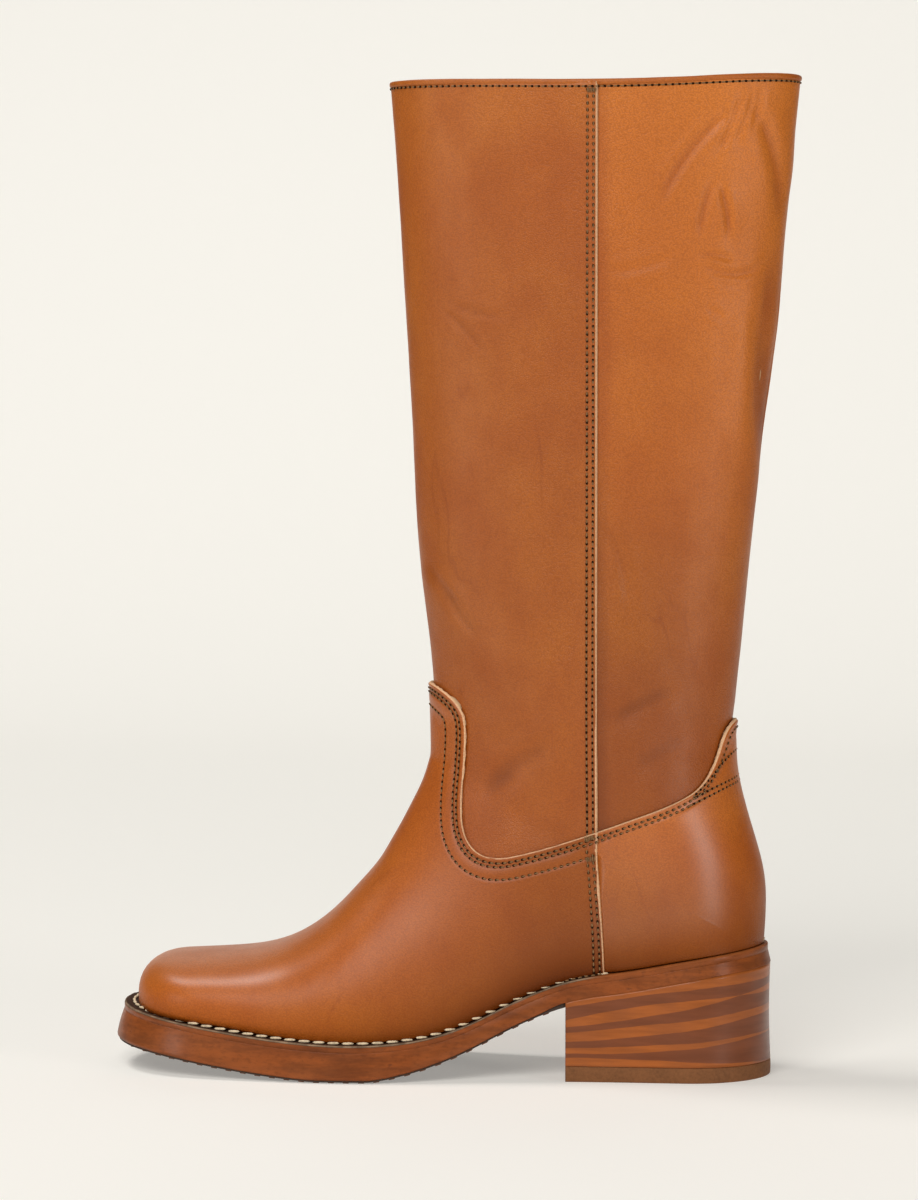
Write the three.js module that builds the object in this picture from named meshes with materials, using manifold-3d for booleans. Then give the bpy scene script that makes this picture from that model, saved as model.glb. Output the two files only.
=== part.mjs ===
// Knee-high pull-on boot for the left foot, with a stacked leather heel.
// Millimetres, +Z up. While it is worked out, x runs from the tip of the sole (0) to
// the heel, z is the height over the floor and the outer side of the foot is at -y.
import * as THREE from "three";
import { mergeVertices } from "three/addons/utils/BufferGeometryUtils.js";
import Module from "manifold-3d";

const SOLE_LENGTH = 280;
const UPPER_WALL = 2; // shaft and foot leather with its lining
const OVERLAY_WALL = 1.8; // vamp and counter leather, laid over the upper
const OVERLAY_GAP = 0.6; // under them, where both surfaces curve
const GAP = 0.3; // between pieces that touch
const WELT_THICKNESS = 3;
const WELT_INNER_MARGIN = 5; // how far the welt reaches in under the upper
const TREAD_THICKNESS = 2.2;
const INSOLE_THICKNESS = 2.4;
const INSOLE_MARGIN = 1.7; // between the insole's edge and the upper's inside
const INSOLE_CHAMFER = 0.6; // round its top edge
const TREAD_INSET = 0.4; // how far the rubber stands inside the leather sole's edge
const HEEL_TAPER = 0.6; // how much the heel widens downwards on each side
const TOP_LIFT_THICKNESS = 6.5;
const TOE_ROUND = 48; // length over which the sole's outline rounds in to the toe
const TOE_SQUARENESS = 0.3;
const HEEL_ROUND = 33.4; // the same at the heel, close to a half circle
const HEEL_BREAST = 197; // front face of the heel
const SIDE_SEAM = 210; // where vamp and counter meet
const EDGE_ROUNDING = 0.8; // on the corners of sole and heel

// Sole: half width and centre line of its widest outline, how far the welt's edge and
// the upper's lower edge (the feather) stand inside that outline, the height of the
// welt's top and the height of the tread's underside.
const SOLE = table(
  "x    half  centre  welt  feather  top   bottom",
  [0, 45.0, 4.5, 3.3, 12.3, 27.7, 11.2],
  [15, 46.6, 3.9, 2.8, 11.6, 25.7, 9.6],
  [30, 48.2, 2.9, 2.4, 11.0, 23.4, 7.5],
  [50, 50.3, 1.5, 2.0, 10.1, 20.5, 4.5],
  [70, 52.0, 0.2, 1.6, 9.5, 18.0, 1.9],
  [90, 52.8, -1.1, 1.3, 9.0, 16.4, 0.1],
  [110, 51.7, -2.1, 1.1, 8.5, 15.9, -0.5],
  [130, 47.7, -2.6, 1.0, 7.9, 17.1, 2.6],
  [145, 43.6, -2.6, 1.0, 7.4, 20.0, 7.4],
  [158, 40.0, -2.4, 0.9, 7.0, 24.8, 13.1],
  [172, 37.0, -2.1, 0.9, 6.5, 31.7, 20.4],
  [186, 35.1, -1.8, 0.9, 6.1, 38.0, 26.9],
  [200, 34.2, -1.4, 0.9, 5.8, 42.6, 31.6],
  [220, 33.9, -0.9, 0.9, 5.6, 46.0, 35.0],
  [240, 33.9, -0.5, 1.0, 5.5, 49.6, 38.7],
  [260, 33.9, -0.2, 1.1, 5.4, 53.1, 42.3],
  [280, 33.8, 0.0, 1.2, 5.4, 55.8, 45.0],
);

// Sections of the foot, each cut along a straight line in the side view, from a point
// of the feather up to a point of the front line. half is the largest half width,
// seat the share of the line at which it lies, crown how full the section is over it,
// and ridge the y of its top.
const FOOT = table(
  "frontX frontZ featherX half  seat  crown  ridge",
  [12.3, 26.9, 47, 40.2, 0.03, 0.3, 4.2],
  [12.2, 33.4, 49, 41.2, 0.07, 0.3, 4.1],
  [14.2, 39.3, 52, 42.4, 0.12, 0.3, 4.0],
  [19.6, 43.7, 55.5, 43.3, 0.16, 0.3, 3.8],
  [30.0, 45.5, 60.5, 44.1, 0.19, 0.29, 3.5],
  [45.5, 46.4, 68, 45.1, 0.21, 0.28, 3.0],
  [62.5, 48.4, 78, 46.1, 0.22, 0.25, 2.4],
  [77.0, 53.0, 86, 46.6, 0.22, 0.22, 1.9],
  [89.2, 60.2, 95, 46.7, 0.21, 0.19, 1.4],
  [99.1, 68.6, 105, 46.4, 0.19, 0.16, 1.0],
  [107.3, 77.3, 116.5, 45.2, 0.175, 0.13, 0.6],
  [114.8, 86.0, 130, 42.8, 0.165, 0.11, 0.3],
  [120.4, 94.8, 146, 39.4, 0.16, 0.1, 0.1],
  [125.5, 103.8, 165, 35.9, 0.165, 0.1, 0.0],
  [130.3, 113.2, 188, 33.4, 0.18, 0.1, 0.0],
  [134.5, 122.3, 215, 32.5, 0.205, 0.1, 0.0],
  [137.2, 131.0, 243, 32.4, 0.235, 0.1, 0.0],
  [137.8, 140.5, 274.6, 32.8, 0.262, 0.1, 0.0],
);

// Sections of heel, ankle and leg, which close at the back. back is how full the
// section is behind its largest width.
const LEG = table(
  "frontX frontZ backX  backZ  half  seat  crown  back",
  [137.5, 153.0, 275.4, 69.5, 33.3, 0.29, 0.1, 0.0],
  [136.8, 165.0, 275.0, 82.5, 33.9, 0.33, 0.1, 0.01],
  [135.8, 177.0, 271.5, 98.0, 34.5, 0.375, 0.1, 0.03],
  [134.4, 189.0, 266.5, 115.0, 34.9, 0.42, 0.1, 0.05],
  [132.8, 201.0, 263.2, 132.0, 35.1, 0.45, 0.1, 0.07],
  [131.2, 215.0, 263.6, 150.0, 35.1, 0.47, 0.1, 0.08],
  [129.6, 234.0, 266.4, 177.0, 35.0, 0.485, 0.1, 0.09],
  [128.5, 259.0, 269.9, 212.0, 34.9, 0.495, 0.1, 0.1],
  [127.1, 288.0, 274.9, 257.0, 34.8, 0.5, 0.1, 0.1],
  [124.8, 325.0, 281.3, 312.0, 34.8, 0.5, 0.1, 0.1],
  [122.2, 368.0, 286.3, 366.0, 34.7, 0.5, 0.1, 0.1],
  [118.4, 417.0, 291.4, 418.6, 34.5, 0.5, 0.1, 0.1],
);

// Upper edge of the foot leather in the side view: tongue, dip over the instep, rise
// past the side seam and peak at the back.
const FOOT_TOP = table(
  "x      z",
  [125.0, 164.4],
  [133.0, 164.6],
  [138.5, 163.4],
  [143.3, 160.9],
  [148.0, 157.4],
  [151.4, 152.6],
  [152.7, 144.0],
  [152.0, 130.0],
  [151.5, 112.0],
  [153.5, 102.0],
  [158.5, 95.6],
  [166.3, 93.1],
  [176.3, 94.4],
  [191.0, 98.4],
  [210.0, 104.8],
  [226.0, 110.8],
  [245.5, 118.8],
  [251.0, 122.2],
  [255.2, 127.0],
  [258.0, 132.5],
  [260.4, 140.0],
  [263.2, 147.0],
  [267.0, 150.8],
  [278.0, 152.0],
);
const SEAM_TOP = 104.8; // height of that edge at the side seam
const OVERLAY_END = 7; // sections of LEG that the overlays are cut from
const BLOCK_REACH = 60; // how far the blocks that cut them run past the boot
const BLOCK_DEPTH = 200; // their length from side to side

const COLUMNS = 32; // faces around a section
const FOOT_STEP = 12; // spacing of the sections used, along the foot
const LEG_STEP = 30; // the same up the leg
const SOLE_STATIONS = 30; // sections of each layer of the sole, from toe to heel

// Rows of numbers as objects, with the names of the heading as their keys.
function table(heading, ...rows) {
  const names = heading.split(/ +/);
  return rows.map((row) => Object.fromEntries(row.map((value, i) => [names[i], value])));
}

// Natural cubic spline through the points (at[i], value[i]).
function spline(at, value) {
  const last = at.length - 1;
  const bend = new Array(last + 1).fill(0);
  const carry = new Array(last + 1).fill(0);
  for (let i = 1; i < last; i++) {
    const before = at[i] - at[i - 1];
    const after = at[i + 1] - at[i];
    const turn = (value[i + 1] - value[i]) / after - (value[i] - value[i - 1]) / before;
    const pivot = 2 * (before + after) - before * carry[i - 1];
    carry[i] = after / pivot;
    bend[i] = (6 * turn - before * bend[i - 1]) / pivot;
  }
  for (let i = last - 1; i > 0; i--) bend[i] -= carry[i] * bend[i + 1];
  return (x) => {
    let i = 1;
    while (i < last && x > at[i]) i++;
    const width = at[i] - at[i - 1];
    const a = (at[i] - x) / width;
    const b = 1 - a;
    const curve = (a ** 3 - a) * bend[i - 1] + (b ** 3 - b) * bend[i];
    return a * value[i - 1] + b * value[i] + (curve * width ** 2) / 6;
  };
}

const column = (rows, name) => rows.map((row) => row[name]);
const lerp = THREE.MathUtils.lerp;
const along = (name) => spline(column(SOLE, "x"), column(SOLE, name));
const soleHalf = along("half");
const soleCentre = along("centre");
const weltInset = along("welt");
const featherInset = along("feather");
const weltTop = along("top");
const treadSpline = along("bottom");
const treadBottom = (x) => Math.max(0, treadSpline(x)); // flat on the floor at the ball
const feather = (x) => weltTop(x) + GAP;

// Rounding of an outline at one end: share is the distance from the tip over the
// length of the rounding.
function cap(share, squareness) {
  if (share >= 1) return 1;
  const sine = 1 - Math.max(0, share);
  return Math.sqrt(1 - sine * sine) * (1 + squareness * sine * sine);
}

// The sole's outline taken in by inset(x): where it starts and ends, and its half
// width at x.
function outline(inset) {
  const start = inset(0);
  const end = SOLE_LENGTH - inset(SOLE_LENGTH);
  const half = (x) =>
    (soleHalf(x) - inset(x)) *
    cap((x - start) / (TOE_ROUND - start), TOE_SQUARENESS) *
    cap((end - x) / (HEEL_ROUND - (SOLE_LENGTH - end)), 0);
  return { start, end, half };
}

// Closed mesh geometry from grids of points, each a list of rows.
function skin(grids) {
  const positions = [];
  const triangle = (...corners) => {
    const [a, b, c] = corners;
    const thin = Math.min(a.distanceTo(b), b.distanceTo(c), c.distanceTo(a)) < 2e-3;
    if (!thin) corners.forEach((p) => positions.push(p.x, p.y, p.z));
  };
  for (const grid of grids)
    for (let r = 1; r < grid.length; r++)
      for (let c = 1; c < grid[r].length; c++) {
        const [a, b] = [grid[r - 1][c - 1], grid[r - 1][c]];
        const [d, e] = [grid[r][c - 1], grid[r][c]];
        const short = a.distanceTo(e) < b.distanceTo(d); // cut along the shorter way
        triangle(a, b, short ? e : d);
        triangle(short ? a : b, e, d);
      }
  const geometry = new THREE.BufferGeometry();
  geometry.setAttribute("position", new THREE.Float32BufferAttribute(positions, 3));
  return mergeVertices(geometry, 1e-3);
}

// A layer of the sole or heel. rims lists its edge from the top face down to the
// bottom face, each as an inset and a height, both functions of x. from and to cut it
// straight across; without them it ends where its outline does.
function plate(rims, { from, to } = {}) {
  const ease = (q) => {
    if (from !== undefined) return Math.sin((q * Math.PI) / 2);
    if (to !== undefined) return 1 - Math.cos((q * Math.PI) / 2);
    return (1 - Math.cos(q * Math.PI)) / 2;
  };
  const loops = [];
  for (let i = 0; i <= SOLE_STATIONS; i++) {
    const side = (sign) =>
      rims.map(([inset, height]) => {
        const edge = outline(inset);
        const x = lerp(from ?? edge.start, to ?? edge.end, ease(i / SOLE_STATIONS));
        return new THREE.Vector3(x, soleCentre(x) + sign * edge.half(x), height(x));
      });
    loops.push({ outer: side(-1), inner: side(1) });
  }
  const around = loops.map(({ outer, inner }) => [...outer, ...inner.toReversed(), outer[0]]);
  const first = loops[0];
  const end = loops.at(-1);
  return skin([around, [first.inner, first.outer], [end.outer, end.inner]]);
}

// A ring between two outlines, closed round toe and heel.
function ring(outerInset, innerInset, top, bottom) {
  const outer = outline(outerInset);
  const inner = outline(innerInset);
  const corner = (edge, sign, q, height) => {
    const x = lerp(edge.start, edge.end, (1 - Math.cos(q * Math.PI)) / 2);
    return new THREE.Vector3(x, soleCentre(x) + sign * edge.half(x), height(x));
  };
  const loops = [];
  for (let i = 0; i <= 2 * SOLE_STATIONS; i++) {
    const sign = i <= SOLE_STATIONS ? -1 : 1;
    const q = i <= SOLE_STATIONS ? i / SOLE_STATIONS : 2 - i / SOLE_STATIONS;
    const loop = [
      corner(outer, sign, q, top),
      corner(outer, sign, q, bottom),
      corner(inner, sign, q, bottom),
      corner(inner, sign, q, top),
    ];
    loops.push([...loop, loop[0]]);
  }
  return skin([loops]);
}

// --- The last: one function gives the surface of foot and leg --------------------

const feetHeel = FOOT.length - 1; // the section that ends at the back of the heel
const lowPoint = (row) =>
  row.featherX === undefined
    ? new THREE.Vector2(row.backX, row.backZ)
    : new THREE.Vector2(row.featherX, feather(row.featherX));
const SECTIONS = [...FOOT, ...LEG];
const station = [0]; // distance along the boot of each section
for (let i = 1; i < SECTIONS.length; i++) {
  const front = (row) => new THREE.Vector2(row.frontX, row.frontZ);
  const [a, b] = [SECTIONS[i - 1], SECTIONS[i]];
  const move = Math.max(front(a).distanceTo(front(b)), lowPoint(a).distanceTo(lowPoint(b)));
  station.push(station[i - 1] + move);
}
const HEEL_STATION = station[feetHeel];
const COLLAR_STATION = station.at(-1);

const featherRim = outline(featherInset);
const share = (x) => (x - featherRim.start) / (featherRim.end - featherRim.start);
const across = (name, missing) =>
  spline(station, SECTIONS.map((row) => row[name] ?? missing));
const frontX = across("frontX");
const frontZ = across("frontZ");
const half = across("half");
const seat = across("seat");
const crown = across("crown");
const ridge = across("ridge", 0);
const backFullness = across("back", 0);
// Along the foot the lower end runs on the feather, by the angle of a half turn from
// toe to heel, so that it slows down at the heel; up the leg it runs on the back line.
const featherAngle = spline(
  station.slice(0, feetHeel + 1),
  FOOT.map((row) => Math.acos(1 - 2 * Math.min(1, share(row.featherX)))),
);
const legStations = station.slice(feetHeel);
const legLow = SECTIONS.slice(feetHeel).map(lowPoint);
const backX = spline(legStations, column(legLow, "x"));
const backZ = spline(legStations, column(legLow, "y"));

// Point of a line of the side view, lifted off it by lift along its normal. turn is 1
// where the outside lies to the left of the way up the line, -1 where it lies right.
function lifted(lineX, lineZ, t, lift, turn) {
  const step = 0.5;
  const normal = new THREE.Vector2(
    -(lineZ(t + step) - lineZ(t - step)),
    lineX(t + step) - lineX(t - step),
  ).normalize();
  return new THREE.Vector2(lineX(t), lineZ(t)).addScaledVector(normal, lift * turn);
}

// Angle below the largest width at which a section with that fullness narrows to the
// given share of it.
function cutAngle(narrow, fullness) {
  let [low, high] = [0, Math.PI / 2];
  for (let i = 0; i < 40; i++) {
    const middle = (low + high) / 2;
    const width = Math.cos(middle) * (1 + fullness * Math.sin(middle) ** 2);
    if (width > narrow) low = middle;
    else high = middle;
  }
  return (low + high) / 2;
}

// Point of the surface lifted by lift: t is the station along the boot, and v runs
// round the section from the outer lower end (-1) over the front (0) to the inner
// lower end (1). Over its largest width a section is an ellipse made fuller by crown,
// and under it an ellipse that is cut at the feather or closes at the back.
function surface(t, v, lift) {
  const side = v < 0 ? -1 : 1;
  const front = lifted(frontX, frontZ, t, lift, 1);
  const onFoot = t < HEEL_STATION;
  const wide = half(t) + lift;
  const fullness = backFullness(t);
  let low;
  let cut = Math.PI / 2;
  let lowCentre = 0;
  if (onFoot) {
    const rim = outline((x) => featherInset(x) - lift);
    const x = lerp(rim.start, rim.end, (1 - Math.cos(featherAngle(t))) / 2);
    low = new THREE.Vector2(x, feather(x));
    cut = cutAngle(rim.half(x) / wide, fullness);
    lowCentre = soleCentre(x);
  } else {
    low = lifted(backX, backZ, t, lift, -1);
    low.y = Math.max(low.y, feather(low.x));
  }
  const length = low.distanceTo(front);
  const seatAt = seat(t) * length;
  const angle = Math.PI / 2 - Math.abs(v) * (Math.PI / 2 + cut);
  const sine = Math.sin(angle);
  const above = angle > 0;
  const reach = above ? length - seatAt : seatAt / Math.sin(cut);
  const at = (seatAt + reach * sine) / length;
  const width = wide * Math.cos(angle) * (1 + (above ? crown(t) : fullness) * sine * sine);
  const point = low.clone().lerp(front, at);
  return new THREE.Vector3(
    point.x,
    lerp(lowCentre, ridge(t), at) + side * (Math.abs(v) === 1 && !onFoot ? 0 : width),
    point.y,
  );
}

// Stations of the sections that the solids use.
function stations(end) {
  const list = [];
  const spread = (from, to, step) => {
    const count = Math.round((to - from) / step);
    for (let i = 0; i < count; i++) list.push(lerp(from, to, i / count));
  };
  spread(0, HEEL_STATION, FOOT_STEP);
  spread(HEEL_STATION, COLLAR_STATION, LEG_STEP);
  list.push(COLLAR_STATION);
  return list.filter((t) => t <= end);
}

// Leather between two lifts of the surface, from the toe up to the station end: open
// underneath along the feather and open at the top.
function leather(innerLift, outerLift, end) {
  const rows = stations(end);
  const grid = (lift) =>
    rows.map((t) =>
      Array.from({ length: COLUMNS + 1 }, (_, i) => surface(t, (2 * i) / COLUMNS - 1, lift)),
    );
  const outside = grid(outerLift);
  const inside = grid(innerLift);
  const heelRow = rows.findIndex((t) => t >= HEEL_STATION);
  const open = (g) => g.slice(0, heelRow + 1);
  const feet = (g, i) => open(g).map((row) => row.at(i));
  return skin([
    inside,
    outside.map((row) => row.toReversed()),
    [feet(inside, 0), feet(outside, 0)],
    [feet(outside, -1), feet(inside, -1)],
    [outside[0], inside[0]],
    [inside.at(-1), outside.at(-1)],
  ]);
}

// --- Overlays, cut with manifold-3d ----------------------------------------------

const wasm = await Module();
wasm.setup();

function toSolid(geometry) {
  const bare = geometry.clone();
  bare.deleteAttribute("normal");
  bare.deleteAttribute("uv");
  const merged = mergeVertices(bare, 1e-3);
  return new wasm.Manifold(
    new wasm.Mesh({
      numProp: 3,
      vertProperties: merged.attributes.position.array,
      triVerts: new Uint32Array(merged.index.array),
    }),
  );
}

function toGeometry(solid) {
  const mesh = solid.getMesh();
  const geometry = new THREE.BufferGeometry();
  geometry.setAttribute("position", new THREE.BufferAttribute(mesh.vertProperties, 3));
  geometry.setIndex(new THREE.BufferAttribute(mesh.triVerts, 1));
  return geometry;
}

// Block through the boot from side to side with the given side view.
function cutter(points) {
  const shape = new THREE.Shape(points.map(({ x, z }) => new THREE.Vector2(x, z)));
  const block = new THREE.ExtrudeGeometry(shape, { depth: BLOCK_DEPTH, bevelEnabled: false });
  block.rotateX(Math.PI / 2);
  block.translate(0, BLOCK_DEPTH / 2, 0);
  return toSolid(block);
}

// The foot leather ahead of the side seam (vamp) or behind it (counter).
function footPiece(ahead) {
  const edgeX = SIDE_SEAM + (ahead ? -GAP / 2 : GAP / 2);
  const far = ahead ? -BLOCK_REACH : SOLE_LENGTH + BLOCK_REACH;
  const top = FOOT_TOP.filter(({ x }) => (ahead ? x < SIDE_SEAM : x > SIDE_SEAM));
  const seam = { x: edgeX, z: SEAM_TOP };
  const edge = ahead ? [...top, seam] : [...top.toReversed(), seam];
  const curve = new THREE.SplineCurve(edge.map(({ x, z }) => new THREE.Vector2(x, z)));
  const line = curve.getPoints(2 * edge.length).map(({ x, y }) => ({ x, z: y }));
  const block = cutter([
    ...line,
    { x: edgeX, z: -BLOCK_REACH },
    { x: far, z: -BLOCK_REACH },
    { x: far, z: line[0].z },
  ]);
  const outside = OVERLAY_GAP + OVERLAY_WALL;
  const shell = toSolid(leather(OVERLAY_GAP, outside, station[feetHeel + OVERLAY_END]));
  return toGeometry(shell.intersect(block));
}

// --- Pieces -----------------------------------------------------------------------

const boot = new THREE.Group();
boot.name = "boot";

function piece(name, geometry, color, roughness) {
  const material = new THREE.MeshStandardMaterial({ color, roughness, metalness: 0 });
  const mesh = new THREE.Mesh(geometry, material);
  mesh.name = name;
  boot.add(mesh);
}

const TAN = 0xb06a2c;
const WORN_TAN = 0xb97433;
const WELT_BROWN = 0x4a3323;
const SOLE_BROWN = 0x8d4a22;
const RUBBER_BROWN = 0x75502f;
const INSOLE_TAN = 0xc89a66;

const flush = () => 0;
const offset = (fn, by) => (x) => fn(x) + by;
const level = (z) => () => z;

piece("upper", leather(-UPPER_WALL, 0, COLLAR_STATION), TAN, 0.45);
piece("vamp", footPiece(true), TAN, 0.4);
piece("counter", footPiece(false), WORN_TAN, 0.4);

// The insole fills the ring of the welt and covers its inner margin.
const insoleInset = offset(featherInset, UPPER_WALL + INSOLE_MARGIN);
const ribInset = offset(featherInset, WELT_INNER_MARGIN + GAP);
piece(
  "insole",
  plate([
    [offset(insoleInset, INSOLE_CHAMFER), offset(weltTop, INSOLE_THICKNESS)],
    [insoleInset, offset(weltTop, INSOLE_THICKNESS - INSOLE_CHAMFER)],
    [insoleInset, offset(weltTop, GAP)],
    [ribInset, offset(weltTop, GAP)],
    [ribInset, offset(weltTop, -WELT_THICKNESS)],
  ]),
  INSOLE_TAN,
  0.8,
);

piece(
  "welt",
  ring(
    weltInset,
    offset(featherInset, WELT_INNER_MARGIN),
    weltTop,
    offset(weltTop, -WELT_THICKNESS),
  ),
  WELT_BROWN,
  0.7,
);

const outsoleBottom = offset(treadBottom, TREAD_THICKNESS + GAP);
piece(
  "outsole",
  plate([
    [weltInset, offset(weltTop, -WELT_THICKNESS - GAP)],
    [flush, offset(outsoleBottom, EDGE_ROUNDING)],
    [level(EDGE_ROUNDING), outsoleBottom],
  ]),
  SOLE_BROWN,
  0.4,
);

piece(
  "tread",
  plate(
    [
      [level(TREAD_INSET), offset(treadBottom, TREAD_THICKNESS)],
      [level(TREAD_INSET), offset(treadBottom, EDGE_ROUNDING)],
      [level(TREAD_INSET + EDGE_ROUNDING), treadBottom],
    ],
    { to: HEEL_BREAST - GAP },
  ),
  RUBBER_BROWN,
  0.7,
);

piece(
  "heel_stack",
  plate(
    [
      [level(HEEL_TAPER), offset(outsoleBottom, -GAP)],
      [flush, level(TOP_LIFT_THICKNESS + GAP)],
    ],
    { from: HEEL_BREAST },
  ),
  SOLE_BROWN,
  0.4,
);

piece(
  "top_lift",
  plate(
    [
      [flush, level(TOP_LIFT_THICKNESS)],
      [flush, level(EDGE_ROUNDING)],
      [level(EDGE_ROUNDING), level(0)],
    ],
    { from: HEEL_BREAST },
  ),
  RUBBER_BROWN,
  0.7,
);

// The origin is the middle of the boot's box, on the floor.
const box = new THREE.Box3().setFromObject(boot);
const middle = box.getCenter(new THREE.Vector3());
boot.position.set(-middle.x, -middle.y, -box.min.z);

export default boot;
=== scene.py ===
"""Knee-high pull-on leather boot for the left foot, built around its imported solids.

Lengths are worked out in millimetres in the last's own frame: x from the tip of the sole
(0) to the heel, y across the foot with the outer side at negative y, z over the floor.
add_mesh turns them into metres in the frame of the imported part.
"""

import math

import bmesh
import bpy
import numpy as np
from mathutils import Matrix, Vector


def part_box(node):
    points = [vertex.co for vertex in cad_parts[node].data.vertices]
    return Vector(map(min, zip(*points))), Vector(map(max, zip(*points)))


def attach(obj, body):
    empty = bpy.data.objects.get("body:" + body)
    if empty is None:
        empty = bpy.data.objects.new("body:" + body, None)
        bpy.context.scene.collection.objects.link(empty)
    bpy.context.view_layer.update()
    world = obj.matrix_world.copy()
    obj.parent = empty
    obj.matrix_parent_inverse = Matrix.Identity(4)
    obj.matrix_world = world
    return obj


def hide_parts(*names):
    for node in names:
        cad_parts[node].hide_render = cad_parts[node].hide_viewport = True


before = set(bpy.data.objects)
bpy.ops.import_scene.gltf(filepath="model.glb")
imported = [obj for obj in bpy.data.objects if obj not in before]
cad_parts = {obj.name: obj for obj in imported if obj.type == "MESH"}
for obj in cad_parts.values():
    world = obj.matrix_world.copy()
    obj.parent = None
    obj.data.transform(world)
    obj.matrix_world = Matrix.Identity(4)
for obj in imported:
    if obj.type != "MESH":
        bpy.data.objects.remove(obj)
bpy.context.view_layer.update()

bl_info = {
    "name": "Knee-high Boot",
    "version": (1, 0, 0),
    "blender": (4, 5, 0),
    "location": "View3D > Sidebar > Boot",
    "description": "Builds a knee-high leather boot piece by piece around its packed solids",
    "category": "Add Mesh",
}

MM = 0.001

# --- Sizes of the last ---------------------------------------------------------------

SOLE_LENGTH = 280.0
TOE_ROUND = 48.0
TOE_SQUARENESS = 0.3
HEEL_ROUND = 33.4
HEEL_BREAST = 197.0
SIDE_SEAM = 210.0
UPPER_WALL = 2.0
OVERLAY_GAP = 0.6
OVERLAY_WALL = 1.8
OVERLAY = OVERLAY_GAP + OVERLAY_WALL
SHAFT_WALL = 1.25
FOOT_WALL = 1.7
LINING_WALL = 0.6
LINING_DEPTH = 1.35  # of the lining's outside under the shaft's surface
UNDERLAP = 9.0  # how far the shaft reaches down under the foot leather
GAP = 0.3
WELT_THICKNESS = 3.0
TREAD_THICKNESS = 2.2
TREAD_INSET = 0.9
SOLE_OVER_TREAD = 1.2  # height of the sole leather over the tread's underside in front
NUB_HEIGHT = 0.5
NUB_PITCH = 6.3
TOP_LIFT_THICKNESS = 6.5


def table(heading, *rows):
    """Columns of a table of numbers, by their names in the heading."""
    return dict(zip(heading.split(), np.array(rows, float).T))


# Sole: half width and centre line of its widest outline, how far the welt's edge and the
# upper's lower edge (the feather) stand inside it, the welt's top and the tread's underside.
SOLE = table(
    "x    half  centre  welt  feather  top   bottom",
    (0, 45.0, 4.5, 3.3, 12.3, 27.7, 11.2),
    (15, 46.6, 3.9, 2.8, 11.6, 25.7, 9.6),
    (30, 48.2, 2.9, 2.4, 11.0, 23.4, 7.5),
    (50, 50.3, 1.5, 2.0, 10.1, 20.5, 4.5),
    (70, 52.0, 0.2, 1.6, 9.5, 18.0, 1.9),
    (90, 52.8, -1.1, 1.3, 9.0, 16.4, 0.1),
    (110, 51.7, -2.1, 1.1, 8.5, 15.9, -0.5),
    (130, 47.7, -2.6, 1.0, 7.9, 17.1, 2.6),
    (145, 43.6, -2.6, 1.0, 7.4, 20.0, 7.4),
    (158, 40.0, -2.4, 0.9, 7.0, 24.8, 13.1),
    (172, 37.0, -2.1, 0.9, 6.5, 31.7, 20.4),
    (186, 35.1, -1.8, 0.9, 6.1, 38.0, 26.9),
    (200, 34.2, -1.4, 0.9, 5.8, 42.6, 31.6),
    (220, 33.9, -0.9, 0.9, 5.6, 46.0, 35.0),
    (240, 33.9, -0.5, 1.0, 5.5, 49.6, 38.7),
    (260, 33.9, -0.2, 1.1, 5.4, 53.1, 42.3),
    (280, 33.8, 0.0, 1.2, 5.4, 55.8, 45.0),
)

# Sections of the foot, each along a straight line of the side view from the feather up to
# the front. half is the largest half width, seat the share of the line at which it lies,
# crown how full the section is over it, and ridge the y of its top.
FOOT = table(
    "frontX frontZ featherX half  seat  crown  ridge",
    (12.3, 26.9, 47, 40.2, 0.03, 0.3, 4.2),
    (12.2, 33.4, 49, 41.2, 0.07, 0.3, 4.1),
    (14.2, 39.3, 52, 42.4, 0.12, 0.3, 4.0),
    (19.6, 43.7, 55.5, 43.3, 0.16, 0.3, 3.8),
    (30.0, 45.5, 60.5, 44.1, 0.19, 0.29, 3.5),
    (45.5, 46.4, 68, 45.1, 0.21, 0.28, 3.0),
    (62.5, 48.4, 78, 46.1, 0.22, 0.25, 2.4),
    (77.0, 53.0, 86, 46.6, 0.22, 0.22, 1.9),
    (89.2, 60.2, 95, 46.7, 0.21, 0.19, 1.4),
    (99.1, 68.6, 105, 46.4, 0.19, 0.16, 1.0),
    (107.3, 77.3, 116.5, 45.2, 0.175, 0.13, 0.6),
    (114.8, 86.0, 130, 42.8, 0.165, 0.11, 0.3),
    (120.4, 94.8, 146, 39.4, 0.16, 0.1, 0.1),
    (125.5, 103.8, 165, 35.9, 0.165, 0.1, 0.0),
    (130.3, 113.2, 188, 33.4, 0.18, 0.1, 0.0),
    (134.5, 122.3, 215, 32.5, 0.205, 0.1, 0.0),
    (137.2, 131.0, 243, 32.4, 0.235, 0.1, 0.0),
    (137.8, 140.5, 274.6, 32.8, 0.262, 0.1, 0.0),
)

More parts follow.
